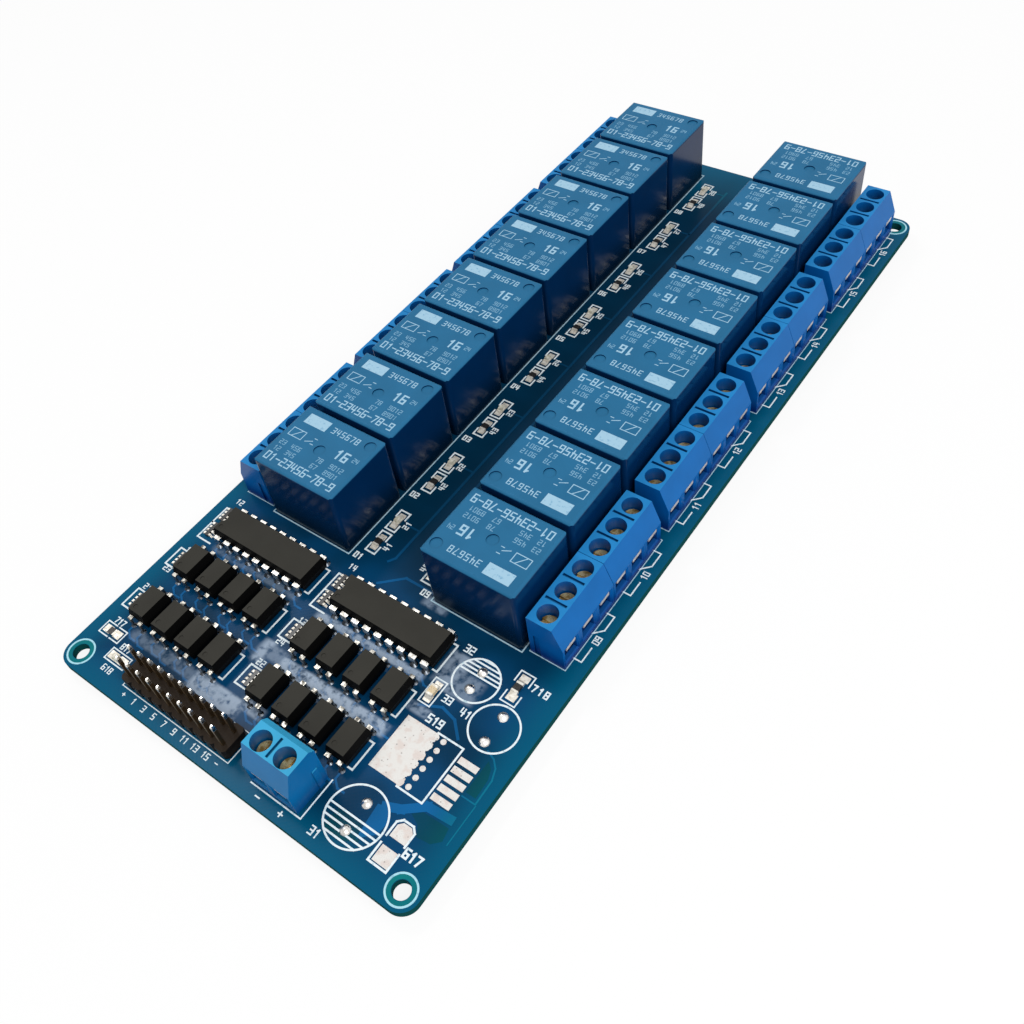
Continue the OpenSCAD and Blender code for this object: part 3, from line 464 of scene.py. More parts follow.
@dataclass(frozen=True)
class Finishes:
    """Every finish on the board, under the name of what it covers."""

    mask: SolderMask = SolderMask()
    # In each mask below, the strip colour is painted shade between the rows of relays.
    copper: SolderMask = SolderMask(
        name="solder_mask_over_copper", inside="#0a5080", rim="#0b7088", cloud="#10609a", strip="#063a58",
        edge="#0a5288")
    bare: SolderMask = SolderMask(
        name="solder_mask_over_laminate", inside="#02364a", rim="#04505a", cloud="#034058", strip="#02303e",
        edge="#02364a")
    collar: SolderMask = SolderMask(
        name="solder_mask_round_hole", inside="#0c6c76", rim="#0c6c76", cloud="#118080", strip="#0c6c76",
        edge="#0c6c76")
    # Each moulding gives top, side and foot colours: painted light and shade on one plastic.
    relay: MouldedPlastic = MouldedPlastic(
        "relay_case_polyester", "#23668e", "#022a54", "#01162a", 0.5, 0.18, specular=0.14)
    terminal: MouldedPlastic = MouldedPlastic(
        "terminal_polyamide", "#2480c0", "#045eaa", "#062c74", 0.4, 0.3, foot_height=4.5, specular=0.1,
        well_shade=0.6)
    supply: MouldedPlastic = MouldedPlastic(
        "supply_terminal_polyamide", "#38a0cc", "#066aa8", "#064c86", 0.4, 0.3, foot_height=4.5, specular=0.1,
        well_shade=0.6)
    chip: MouldedPlastic = MouldedPlastic(
        "chip_moulding_compound", "#3a3935", "#0a0a0a", "#050505", 0.7, 0.5, grain=0.2, grain_depth=0.012,
        foot_height=0.8, specular=0.03)
    strip: MouldedPlastic = MouldedPlastic(
        "header_nylon", "#2f2822", "#1a1613", "#120f0d", 0.45, 0.4, foot_height=0.8)
    tin: BrightMetal = BrightMetal("tinned_lead_wire", "#e2e0da", "#b0aca4")
    aged: BrightMetal = BrightMetal("dulled_lead_wire", "#a9a69e", "#5f5c56", 0.3, 0.5)
    screw: BrightMetal = BrightMetal(
        "zinc_screw", "#ecd49a", "#94743a", 0.25, 0.45, smear=1.1, metallic=0.65)
    clamp: BrightMetal = BrightMetal("nickel_plated_leaf", "#f3ebe8", "#d2c6c2", 0.3, 0.4, metallic=0.5)
    pin: PlatedPin = PlatedPin()
    solder: BrightMetal = BrightMetal("wave_solder", "#f0eeea", "#c6c2bc", 0.18, 0.35, smear=1.2)
    joint: BrightMetal = BrightMetal("dulled_solder_joint", "#6f747a", "#3c424a", 0.3, 0.5)
    cap: BrightMetal = BrightMetal("tinned_end_cap", "#ece8de", "#cfc8ba", 0.4, 0.5, metallic=0.4)
    pad: HotAirSolder = HotAirSolder()
    lens: LampLens = LampLens()
    resistor: Ceramic = Ceramic("resistor_glaze", "#1b1a19", "#3a3834")
    capacitor: Ceramic = Ceramic("capacitor_ceramic", "#d9c6a2", "#b89c76", roughness=0.4)
    board_ink: PrintInk = PrintInk("legend_ink", "#e4eef2", "#aecbd6")
    ring_ink: PrintInk = PrintInk("thin_legend_ink", "#a6d8e6", "#86bccf")
    # Painted shade: the outline ink is darker where it runs along the foot of the tall parts.
    dim_ink: PrintInk = PrintInk("shaded_legend_ink", "#a6c4d2", "#7399b0")
    relay_ink: PrintInk = PrintInk("pad_print_ink", "#9cc2d8", "#7aa8c6")
    pale_ink: PrintInk = PrintInk("thin_pad_print_ink", "#7aa8c4", "#5c90b2")


class Palette:
    """Builds each finish once and gives its material."""

    def __init__(self) -> None:
        """Starts with every finish unbuilt."""
        self.finishes = Finishes()
        self.built: dict[str, bpy.types.Material] = {}

    def material(self, finish: str) -> bpy.types.Material:
        """Gives the material of a finish, by its name in Finishes."""
        if finish not in self.built:
            self.built[finish] = getattr(self.finishes, finish).build()
        return self.built[finish]


# ---------------------------------------------------------------------------------------------- flat work


class Turn(Enum):
    """Ways in which a number may be read on the board."""

    LEVEL = 0.0
    UP = 90.0


GLYPHS: dict[str, tuple[tuple[Point, ...], ...]] = {
    "0": (((0, 0), (1, 0), (1, 2), (0, 2), (0, 0)),),
    "1": (((0.2, 1.6), (0.6, 2), (0.6, 0)),),
    "2": (((0, 2), (1, 2), (1, 1), (0, 1), (0, 0), (1, 0)),),
    "3": (((0, 2), (1, 2), (1, 0), (0, 0)), ((0.2, 1), (1, 1))),
    "4": (((0, 2), (0, 0.8), (1, 0.8)), ((0.8, 2), (0.8, 0))),
    "5": (((1, 2), (0, 2), (0, 1), (1, 1), (1, 0), (0, 0)),),
    "6": (((1, 2), (0, 2), (0, 0), (1, 0), (1, 1), (0, 1)),),
    "7": (((0, 2), (1, 2), (0.4, 0)),),
    "8": (((0, 0), (1, 0), (1, 2), (0, 2), (0, 0)), ((0, 1), (1, 1))),
    "9": (((1, 1), (0, 1), (0, 2), (1, 2), (1, 0), (0, 0)),),
    "+": (((0, 1), (1, 1)), ((0.5, 0.5), (0.5, 1.5))),
    "-": (((0, 1), (1, 1)),),
}


@dataclass
class FlatWork:
    """A thin layer on the board or on a case, such as ink or copper, gathered stroke by stroke."""

    name: str
    finish: str
    base: float
    thickness: float
    slot: str | None = None
    place: Matrix = field(default_factory=lambda: Matrix.Identity(4))
    mesh: bmesh.types.BMesh = field(default_factory=bmesh.new)
    strokes: int = 0
    step: float = 0.0012
    steps: int = 7

    def depth(self) -> float:
        """Gives the next stroke's thickness, a hair off its neighbours', so that no two tops coincide."""
        self.strokes += 1
        return self.thickness + self.strokes % self.steps * self.step

    def block(self, centre: Point, size: Point, angle: float = 0.0) -> None:
        """Adds a flat rectangle.

        Args:
            centre: Its middle.
            size: Its length along its own first axis, and its width.
            angle: Its turn, in radians.
        """
        depth = self.depth()
        middle = Matrix.Translation((*centre, self.base + depth / 2))
        shape = Matrix.Diagonal((size[0] - depth / 20, size[1] - depth / 20, depth, 1))
        matrix = self.place @ middle @ Matrix.Rotation(angle, 4, "Z") @ shape
        bmesh.ops.create_cube(self.mesh, size=1, matrix=matrix)

    def line(self, start: Point, end: Point, width: float) -> None:
        """Adds a straight stroke with square ends that cover its corners."""
        run = Vector(end) - Vector(start)
        centre = (Vector(end) + Vector(start)) / 2
        self.block(tuple(centre), (run.length + width, width), math.atan2(run.y, run.x))

    def path(self, points: Sequence[Point], width: float) -> None:
        """Adds a stroke through several points."""
        for start, end in zip(points, points[1:]):
            self.line(start, end, width)

    def frame(self, low: Point, high: Point, width: float) -> None:
        """Adds the outline of a rectangle."""
        self.path([low, (high[0], low[1]), high, (low[0], high[1]), low], width)

    def ring(self, centre: Point, radius: float, width: float, steps: int = 64) -> None:
        """Adds a ring: a small rectangle spun once round the centre."""
        half = width / 2
        top = self.base + self.depth()
        corners = [self.mesh.verts.new((centre[0] + radius + out, centre[1], z))
                   for out, z in ((-half, self.base), (half, self.base), (half, top), (-half, top))]
        section = [self.mesh.edges.new((a, b)) for a, b in zip(corners, corners[1:] + corners[:1])]
        before = set(self.mesh.verts) - set(corners)
        bmesh.ops.spin(self.mesh, geom=corners + section, cent=(*centre, 0), axis=(0, 0, 1), angle=math.tau,
                       steps=steps, use_merge=True)
        made = [v for v in self.mesh.verts if v not in before]
        bmesh.ops.transform(self.mesh, matrix=self.place, verts=made)

    def disc(self, centre: Point, radius: float, steps: int = 12) -> None:
        """Adds a round dot."""
        depth = self.depth()
        matrix = self.place @ Matrix.Translation((*centre, self.base + depth / 2))
        bmesh.ops.create_cone(self.mesh, cap_ends=True, segments=steps, radius1=radius, radius2=radius,
                              depth=depth, matrix=matrix)

    def plate(self, corners: Sequence[Point]) -> None:
        """Adds a flat plate with the given corners."""
        face = self.mesh.faces.new([self.mesh.verts.new((*corner, self.base)) for corner in corners])
        raised = bmesh.ops.extrude_face_region(self.mesh, geom=[face], use_keep_orig=True)
        top = [v for v in raised["geom"] if isinstance(v, bmesh.types.BMVert)]
        bmesh.ops.translate(self.mesh, vec=(0, 0, self.depth()), verts=top)

    def number(self, text: str, centre: Point, height: float, stroke: float, turn: Turn = Turn.LEVEL,
               pitch: float = 0.8) -> None:
        """Writes plain figures or signs.

        Args:
            text: Figures, plus and minus signs, and spaces.
            centre: The middle of the text.
            height: Height of a figure.
            stroke: Width of its lines.
            turn: How the text lies.
            pitch: Distance between figures as a share of their height.
        """
        size = height / 2
        step = pitch * height
        width = step * (len(text) - 1) + size
        spin = Matrix.Translation((*centre, 0)) @ Matrix.Rotation(math.radians(turn.value), 4, "Z")
        for i, sign in enumerate(text):
            for stroke_points in GLYPHS.get(sign, ()):
                points = [spin @ Vector((i * step - width / 2 + x * size, y * size - height / 2, 0))
                          for x, y in stroke_points]
                self.path([(p.x, p.y) for p in points], stroke)

    def finish_piece(self, palette: Palette) -> bpy.types.Object:
        """Turns the gathered mesh into a piece that rides on the board.

        Args:
            palette: Where its material comes from.

        Returns:
            The finished object.
        """
        bmesh.ops.transform(self.mesh, matrix=Matrix.Scale(MM, 4), verts=self.mesh.verts)
        bmesh.ops.recalc_face_normals(self.mesh, faces=self.mesh.faces)
        data = bpy.data.meshes.new(self.name)
        self.mesh.to_mesh(data)
        self.mesh.free()
        piece = bpy.data.objects.new(self.name, data)
        bpy.context.scene.collection.objects.link(piece)
        data.materials.append(palette.material(self.finish))
        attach(piece, ROOT)
        LOG.info("%s: %d faces", self.name, len(data.polygons))
        return piece


# ---------------------------------------------------------------------------------------------- the parts


class Solids:
    """The solids of the frame and the finish that each of them wears."""

    FINISH_OF: dict[str, str] = {
        "pcb": "mask", "relay_pins": "tin", "supply_terminal": "supply", "clamp_screws": "screw",
        "wire_clamps": "clamp", "terminal_contacts": "clamp", "driver_leads": "tin",
        "optocoupler_leads": "aged", "header_strip": "strip", "header_pins": "pin", "channel_leds": "lens",
        "supply_led": "lens", "chip_resistors": "resistor", "resistor_arrays": "resistor",
        "chip_capacitor": "capacitor", "chip_part_ends": "cap", "tinned_pads": "pad",
        "solder_domes": "solder", "solder_cones": "solder",
    }
    FAMILY_OF: dict[str, str] = {
        "relay_": "relay", "terminal_block_": "terminal", "driver_chip_": "chip", "optocouplers_": "chip",
    }

    def finish_for(self, node: str) -> str:
        """Gives the name of a solid's finish."""
        if node in self.FINISH_OF:
            return self.FINISH_OF[node]
        return next(finish for start, finish in self.FAMILY_OF.items() if node.startswith(start))

    def dress(self, palette: Palette) -> None:
        """Puts its finish on every solid."""
        for node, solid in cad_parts.items():
            solid.data.materials.clear()
            solid.data.materials.append(palette.material(self.finish_for(node)))
        LOG.info("solids dressed: %d", len(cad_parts))


@dataclass
class BoardPlace:
    """Places on the board, counted from its control edge."""

    lead_pitch: float = 2.54
    row_half: float = 3.81
    opto_body: float = 4.3
    hole_inset: float = 3.2
    channel_inset: float = 3.2
    light_up: float = 2.6
    resistor_down: float = 3.05

    def __post_init__(self) -> None:
        """Reads the board's box."""
        self.low, self.high = box_mm("pcb")

    def at(self, x: float, start: float) -> Point:
        """Gives the point at x that lies start from the control edge."""
        return (x, self.low.y + start)

    def all_at(self, *points: Point) -> list[Point]:
        """Gives several such points."""
        return [self.at(*point) for point in points]

    def holes(self) -> list[Point]:
        """Gives the middles of the four mounting holes."""
        return [(x, y) for x in (self.low.x + self.hole_inset, self.high.x - self.hole_inset)
                for y in (self.low.y + self.hole_inset, self.high.y - self.hole_inset)]

    def channel(self, index: int) -> Point:
        """Gives the middle of the column that holds a relay's light and resistor."""
        side = -1 if index <= 8 else 1
        low, high = box_mm(f"relay_{index}")
        inner = low.x if side > 0 else -high.x
        return side * (inner - self.channel_inset), (low.y + high.y) / 2

    def chip_rows(self) -> list[tuple[Vector, Vector, list[float]]]:
        """Gives each driver chip's box with the x of its leads."""
        rows = []
        for index in (1, 2):
            low, high = box_mm(f"driver_chip_{index}")
            rows.append((low, high, [(low.x + high.x) / 2 + (i - 4) * self.lead_pitch for i in range(9)]))
        return rows

    def opto_rows(self) -> list[tuple[Vector, Vector, list[float]]]:
        """Gives each group of optocouplers' box with the x of its leads."""
        rows = []
        for index in range(1, 5):
            low, high = box_mm(f"optocouplers_{index}")
            pitch = (high.x - low.x - self.opto_body) / 3
            first = low.x + self.opto_body / 2
            rows.append((low, high, [first + i * pitch + end * self.lead_pitch for i in range(4)
                                     for end in (-0.5, 0.5)]))
        return rows


@dataclass
class CopperUnderMask(BoardPlace):
    """Copper that stands out under the mask: pours, tracks and the clearances between them."""

    thickness: float = 0.03
    track: float = 0.38
    rail: float = 0.5
    rail_end: float = 172.0
    relay_pitch: float = 16.51
    collar_radius: float = 1.93
    collar_width: float = 0.7

    def build(self, palette: Palette) -> None:
        """Lays the pours and the tracks."""
        self.metal = FlatWork("copper_under_mask", "copper", self.high.z, self.thickness)
        self.gaps = FlatWork("bare_laminate", "bare", self.high.z, self.thickness / 3)
        self.supply_pours()
        self.strip_rails()
        for low, high, leads in (*self.chip_rows(), *self.opto_rows()):
            self.fan(leads, (low.y + high.y) / 2 - self.row_half)
        collars = FlatWork("hole_collars", "collar", self.high.z, self.thickness / 2)
        for hole in self.holes():
            collars.ring(hole, self.collar_radius, self.collar_width)
        for work in (self.metal, self.gaps, collars):
            work.finish_piece(palette)

    def supply_pours(self) -> None:
        """Lays the wide copper round the regulator's place, and the bare laminate beside it."""
        copper, bare, at = self.metal, self.gaps, self.all_at
        copper.path(at((26.9, 11.5), (29.2, 12.5), (32.3, 15.0), (36.3, 15.3)), 1.5)
        copper.path(at((34.6, 27.2), (36.2, 26.6), (37.3, 25.5), (38.0, 23.6), (38.1, 19.4)), 0.3)
        copper.path(at((35.6, 19.2), (38.1, 19.2)), 0.25)
        copper.path(at((38.3, 12.0), (38.3, 19.0)), 0.2)
        copper.plate(at((26.3, 5.2), (28.6, 7.4), (28.9, 10.2), (27.4, 11.5), (25.6, 11.2), (25.9, 8.2)))
        copper.path(at((20.4, 27.6), (24.0, 29.3), (27.0, 28.6), (29.4, 26.3)), self.rail)
        bare.plate(at((30.9, 12.8), (32.3, 14.0), (37.0, 14.1), (37.4, 12.0), (36.1, 10.7), (33.7, 10.4),
                      (32.7, 12.0)))
        bare.plate(at((35.7, 26.0), (36.8, 25.0), (37.4, 23.4), (37.6, 20.0), (35.7, 20.0)))
        bare.plate(at((20.6, 4.0), (24.0, 3.4), (27.0, 5.0), (25.4, 7.6), (21.0, 7.4)))

    def strip_rails(self) -> None:
        """Runs the two supply rails up the strip between the relays, with a branch to each relay."""
        copper, at = self.metal, self.all_at
        left, right = -1.5, 1.2
        copper.path(at((-2.25, 47.0), (left, 48.2), (left, self.rail_end)), self.rail)
        copper.path(at((-0.85, 42.3), (2.95, 45.8), (9.65, 45.8)), self.rail)
        copper.path(at((right, 54.0), (right, self.rail_end)), self.rail)
        for i in range(8):
            for x, start, knee in ((left, 55.2, -4.2), (right, 59.6, 4.2)):
                y = start + self.relay_pitch * i
                end = knee + math.copysign(1.4, knee)
                copper.path(at((x, y), (knee, y), (end, y + 1.4)), self.track)

    def fan(self, leads: Sequence[float], y: float) -> None:
        """Runs a track from each lead forwards, aside and along the row.

        Args:
            leads: Where the leads stand along the row.
            y: Where their feet stand across it.
        """
        for i, x in enumerate(leads):
            knee = y - 1.2 - 0.35 * (i % 2)
            self.metal.path([(x, y - 0.6), (x, knee), (x + 1.3, knee - 1.0), (x + 2.6, knee - 1.0)],
                            self.track)


@dataclass
class BoardPrint(BoardPlace):
    """White legend on the board: rings, part outlines, contact symbols and plain figures."""

    thickness: float = 0.05
    line: float = 0.24
    strong: float = 0.32
    thin: float = 0.17
    figure: float = 1.05
    hole_ring: float = 2.45
    pole_pitch: float = 5.08
    room: float = 0.3
    array_gap: float = 4.2

    def build(self, palette: Palette) -> None:
        """Draws the whole legend."""
        self.ink = FlatWork("board_legend", "board_ink", self.high.z, self.thickness)
        # The outlines take the darker ink as painted shade at the foot of the relays and terminal blocks.
        self.edges = FlatWork("relay_outlines", "dim_ink", self.high.z, self.thickness * 0.6)
        self.rings = FlatWork("hole_rings", "ring_ink", self.high.z, self.thickness)
        self.hole_rings()
        self.header_and_supply()
        self.empty_places()
        self.chips()
        self.relay_edges()
        for side in (-1, 1):
            self.contact_symbols(side)
            self.channel_marks(side)
        self.ink.finish_piece(palette)
        self.rings.finish_piece(palette)
        self.edges.finish_piece(palette)

    def hole_rings(self) -> None:
        """Rings the four mounting holes."""
        for hole in self.holes():
            self.rings.ring(hole, self.hole_ring, self.strong)

    def header_and_supply(self) -> None:
        """Outlines the header and the supply terminal, and numbers their pins."""
        low, high = box_mm("header_strip")
        room = self.room
        self.ink.frame((low.x - room, low.y - room), (high.x + room, high.y + room), self.thin)
        for i, text in enumerate(["+", *[str(n) for n in range(1, 17, 2)], "-"]):
            x = low.x + (i + 0.5) * self.lead_pitch
            self.ink.number(text, self.at(x, 1.75), self.figure, self.thin)
        low, high = box_mm("supply_terminal")
        right = high.x + 2 * room
        self.ink.path([(low.x, low.y - room), (right, low.y - room), (right, high.y)], self.line)
        middle = (low.x + high.x) / 2
        self.ink.number("-", self.at(middle - 2.5, 1.5), 1.6, self.line)
        self.ink.number("+", self.at(middle + 2.5, 1.5), 1.6, self.line)

    def hatched_circle(self, centre: Point, radius: float, chords: Iterable[float]) -> None:
        """Draws the place of an upright capacitor.

        Args:
            centre: The middle of the circle.
            radius: Its radius.
            chords: How far above the middle each hatch line lies.
        """
        self.ink.ring(centre, radius, self.strong)
        for y in chords:
            half = math.sqrt(radius * radius - y * y)
            self.ink.line((centre[0] - half, centre[1] + y), (centre[0] + half, centre[1] + y), self.strong)

    def bracket(self, low: Point, high: Point, mouth: Point, width: float) -> None:
        """Outlines an upright place with a gap in each long side.

        Args:
            low: The lower left corner, as x and start.
            high: The upper right corner.
            mouth: Where the gap starts and ends.
            width: The line's width.
        """
        for end, lip in ((low[1], mouth[0]), (high[1], mouth[1])):
            self.ink.path(self.all_at((low[0], lip), (low[0], end), (high[0], end), (high[0], lip)), width)

    def mark(self, text: str, x: float, start: float, height: float, stroke: float = 0.24,
             pitch: float = 0.8) -> None:
        """Numbers a place.

        Args:
            text: The number.
            x: Where its middle lies across the board.
            start: How far its middle lies from the control edge.
            height: Height of a figure.
            stroke: Width of its lines.
            pitch: Distance between figures as a share of their height.
        """
        self.ink.number(text, self.at(x, start), height, stroke, pitch=pitch)

    def empty_places(self) -> None:
        """Draws the places that hold no part, and those of the parts that lie by themselves."""
        ink, at = self.ink, self.all_at
        self.hatched_circle(self.at(24.1, 7.75), 5.1, [-0.2 - 0.97 * i for i in range(5)])
        self.mark("31", 20.3, 2.4, 1.3)
        self.hatched_circle(self.at(25.7, 36.1), 4.05, [0.8 + 0.75 * i for i in range(5)])
        self.mark("32", 21.4, 40.2, 1.3)
        ink.ring(self.at(33.2, 30.8), 4.2, self.strong)
        self.mark("41", 27.8, 30.4, 1.3)
        ink.path(at((26.2, 25.4), (31.2, 25.4), (31.2, 14.9), (26.2, 14.9)), self.strong)
        self.mark("519", 24.55, 26.7, 1.35, 0.28)
        ink.path(at((29.8, 6.9), (29.8, 3.8), (33.3, 3.8), (33.3, 6.9)), 0.35)
        ink.path(at((29.8, 8.2), (29.8, 10.6), (30.6, 11.4), (32.5, 11.4), (33.3, 10.6), (33.3, 8.2)), 0.35)
        self.mark("617", 35.25, 7.7, 1.4, 0.34)
        ink.frame(self.at(19.75, 28.2), self.at(22.1, 33.1), self.line)
        self.mark("33", 23.9, 30.8, 1.2)
        self.bracket((30.9, 35.5), (33.7, 41.65), (37.5, 39.6), self.line)
        self.mark("718", 35.75, 40.0, 1.2, 0.26, 1.0)
        for left, right in ((-37.45, -35.2), (-32.45, -34.6)):
            ink.path(at((right, 7.8), (left, 7.8), (left, 10.3), (right, 10.3)), self.line)
        self.mark("717", -35.4, 11.2, self.figure, 0.22)
        ink.frame(self.at(-32.25, 4.7), self.at(-27.35, 7.0), self.line)
        self.mark("817", -30.1, 8.0, self.figure, 0.2)
        self.mark("618", -29.9, 3.4, self.figure, self.thin)

    def chips(self) -> None:
        """Brackets the driver chips, the optocouplers and their resistor arrays."""
        for index, (low, high, _) in enumerate(self.chip_rows()):
            self.end_bracket(high.x + 0.35, low.y + 0.3, high.y - 0.3)
            y = (low.y + high.y) / 2
            self.array_mark(low.x, y - 4.5, y - 0.5, str(11 + 2 * index), -5.2)
            self.array_mark(low.x, y - 0.5, y + 3.4, str(12 + 2 * index), 4.3)
        for index, (low, high, _) in enumerate(self.opto_rows()):
            y = (low.y + high.y) / 2
            self.end_bracket(high.x + 0.4, y - 2.8, y + 2.5)
            self.array_mark(low.x - 0.45, y - 2.0, y + 2.1, str(21 + index), -2.7 if index > 1 else 3.1)

    def end_bracket(self, x: float, foot: float, head: float) -> None:
        """Closes a row on its right with a bracket."""
        self.ink.path([(x - 0.85, foot), (x, foot), (x, head), (x - 0.85, head)], self.strong)

    def array_mark(self, body: float, foot: float, head: float, text: str, lift: float) -> None:
        """Brackets one resistor array from its left, with a number above or below it.

        Args:
            body: Where the row's first body starts.
            foot: The bracket's lower end.
            head: Its upper end.
            text: The number.
            lift: How far above the bracket's middle the number stands.
        """
        left = body - self.array_gap
        self.ink.path([(left + 3.4, head), (left, head), (left, foot), (left + 3.4, foot)], self.strong)
        self.ink.number(text, (left + 1.3, (head + foot) / 2 + lift), self.figure, 0.2, pitch=0.9)

    def relay_edges(self) -> None:
        """Outlines both rows of relays and every pair of terminal blocks."""
        for side, first, last in ((-1, 1, 8), (1, 9, 16)):
            low, _ = box_mm(f"relay_{first}")
            _, high = box_mm(f"relay_{last}")
            self.edges.frame((low.x - 0.15, low.y - 0.25), (high.x + 0.15, high.y + 0.25), self.line)
            for block in range(first, last, 2):
                low, _ = box_mm(f"terminal_block_{block}")
                _, high = box_mm(f"terminal_block_{block + 1}")
                self.edges.frame((low.x - 0.15, low.y - 0.1), (high.x + 0.15, high.y + 0.1), self.thin)

    def contact_symbols(self, side: int) -> None:
        """Draws a changeover contact beside each terminal block, with the relay's number.

        Args:
            side: 1 for the right edge of the board, -1 for the left.
        """
        start = 1 if side < 0 else 9
        for index in range(start, start + 8):
            low, high = box_mm(f"terminal_block_{index}")
            edge = high.x if side > 0 else -low.x
            y = (low.y + high.y) / 2
            near, knee, out = (side * (edge + reach) for reach in (-1.0, -0.4, 1.5))
            top, foot = y + self.pole_pitch, y - self.pole_pitch
            gap = self.pole_pitch - 3.1
            self.ink.path([(near, top), (out, top), (out, y + gap)], self.line)
            self.ink.path([(near, y), (knee, y), (out, y + gap)], self.line)
            self.ink.path([(out, y - gap), (out, foot), (near, foot)], self.line)
            self.ink.number(f"{index:02d}", (out, y - 0.3), 1.1, 0.2, Turn.UP)

    def channel_marks(self, side: int) -> None:
        """Brackets the light and the resistor of every relay, with their numbers.

        Args:
            side: 1 for the right row of relays, -1 for the left.
        """
        start = 1 if side < 0 else 9
        for index in range(start, start + 8):
            x, middle = self.channel(index)
            marks = ((middle + self.light_up, 2.4, 20), (middle - self.resistor_down, 2.5, 40))
            for y, half, first in marks:
                for end in (-1, 1):
                    rail = y + end * half
                    mouth = y + end * 0.8
                    self.ink.path([(x - 1.1, mouth), (x - 1.1, rail), (x + 1.1, rail), (x + 1.1, mouth)],
                                  self.strong)
                self.ink.number(str(first + index), (x - side * 2.2, y), self.figure, 0.24, Turn.UP, 0.9)
            self.ink.number(f"{index:02d}", (x + side * 1.3, middle - 7.3), 1.1, 0.26, pitch=0.9)


@dataclass
class RelayPrint:
    """Pale print on the relay tops: rows of plain figures, a contact diagram and a solid field."""

    thickness: float = 0.01
    bold: float = 0.24
    thin: float = 0.13
    drawn: float = 0.16
    row_height: float = 0.95

    def build(self, palette: Palette) -> None:
        """Prints every relay."""
        top = box_mm("relay_1")[1].z
        strong = FlatWork("relay_print", "relay_ink", top, self.thickness)
        fine = FlatWork("relay_fine_print", "pale_ink", top, self.thickness)
        for index in range(1, 17):
            low, high = box_mm(f"relay_{index}")
            turn = 0.0 if index <= 8 else math.pi
            middle = (low + high) / 2
            for ink in (strong, fine):
                ink.place = Matrix.Translation((middle.x, middle.y, 0)) @ Matrix.Rotation(turn, 4, "Z")
            self.print_one(strong, fine)
        strong.finish_piece(palette)
        fine.finish_piece(palette)

    def print_one(self, strong: FlatWork, fine: FlatWork) -> None:
        """Prints one relay in its own frame, seen with the heavy row at the foot.

        Args:
            strong: The dense ink of the large signs.
            fine: The thinner ink of the small rows.
        """
        strong.number("01-23456-78-9", (0, -5.55), 1.6, self.bold, pitch=0.8)
        rows = ((-3.5, ("12", "345", "67", "8901")), (-1.85, ("23", "456", "78", "9012")))
        for y, groups in rows:
            for x, text in zip((-7.3, -4.1, 1.7, 5.7), groups):
                fine.number(text, (x, y), self.row_height, self.thin, pitch=0.85)
        self.contact_diagram(strong)
        strong.number("16", (4.6, 1.0), 1.9, 0.36, pitch=0.85)
        fine.number("24", (7.6, 1.3), 0.9, self.thin)
        strong.number("345678", (2.0, 5.0), 1.25, 0.17, pitch=0.9)
        strong.block((-4.9, 5.0), (5.2, 2.4))

    def contact_diagram(self, ink: FlatWork) -> None:
        """Draws a coil and a changeover contact."""
        ink.frame((-8.0, 0.1), (-4.9, 2.0), self.drawn)
        for start, end in (((-7.2, 0.1), (-5.7, 2.0)), ((-3.9, 0.3), (-2.6, 1.0)),
                           ((-2.6, 0.3), (-2.0, 0.3)), ((-2.6, 1.7), (-2.0, 1.7))):
            ink.line(start, end, self.drawn)


@dataclass
class LeadSolder(BoardPlace):
    """Solder on the upper side: cones round the leads, flat pads under the chip parts, a pad's ragged lip."""

    climb: float = 0.45
    opto_climb: float = 0.25
    chip_foot: float = 0.75
    opto_foot: float = 0.55
    core: float = 0.18
    channel_pad: Point = (1.35, 1.1)
    channel_pad_reach: float = 1.25
    lip_drops: int = 12

    def build(self, palette: Palette) -> None:
        """Makes one low cone for every lead and the flat solder."""
        solder = FlatWork("lead_solder", "joint", self.high.z, self.climb, slot="solder")
        for low, high, leads in self.chip_rows():
            self.cones(solder, leads, (low.y + high.y) / 2, self.chip_foot, self.climb)
        for low, high, leads in self.opto_rows():
            self.cones(solder, leads, (low.y + high.y) / 2, self.opto_foot, self.opto_climb)
        solder.finish_piece(palette)
        pads = FlatWork("chip_part_pads", "cap", self.high.z, 0.06, slot="solder")
        self.channel_pads(pads)
        for place, size in (
                ((32.3, 36.8), (1.7, 1.4)), ((32.3, 40.6), (1.7, 1.2)), ((-36.2, 9.05), (1.7, 1.5)),
                ((-33.65, 9.05), (1.5, 1.5)), ((-31.0, 5.85), (1.9, 1.5)), ((-28.6, 5.85), (1.9, 1.5)),
                ((20.95, 29.3), (1.4, 1.3)), ((20.95, 32.0), (1.4, 1.3))):
            pads.block(self.at(*place), size)
        pads.finish_piece(palette)
        lip = FlatWork("pad_edge_solder", "pad", self.high.z, 0.09, slot="solder")
        for i in range(self.lip_drops):
            place = self.at(26.3 + 0.18 * math.sin(2.3 * i), 15.5 + 0.86 * i)
            lip.disc(place, 0.4 + 0.12 * math.cos(3.1 * i))
        lip.finish_piece(palette)

    def channel_pads(self, pads: FlatWork) -> None:
        """Lays the flat pads under the light and the resistor of every relay."""
        for index in range(1, 17):
            x, middle = self.channel(index)
            for y in (middle + self.light_up, middle - self.resistor_down):
                for end in (-1, 1):
                    pads.block((x, y + end * self.channel_pad_reach), self.channel_pad)

    def cones(self, solder: FlatWork, leads: Sequence[float], y: float, radius: float, climb: float) -> None:
        """Adds the cones of a row's leads on both sides of its bodies.

        Args:
            solder: The layer to add to.
            leads: Where the leads stand along the row.
            y: The row's middle line.
            radius: Radius of a cone's foot.
            climb: Its height.
        """
        for x in leads:
            for side in (-1, 1):
                place = Matrix.Translation((x, y + side * self.row_half, solder.base + climb / 2))
                bmesh.ops.create_cone(solder.mesh, cap_ends=True, segments=14, radius1=radius,
                                      radius2=self.core, depth=climb, matrix=place)


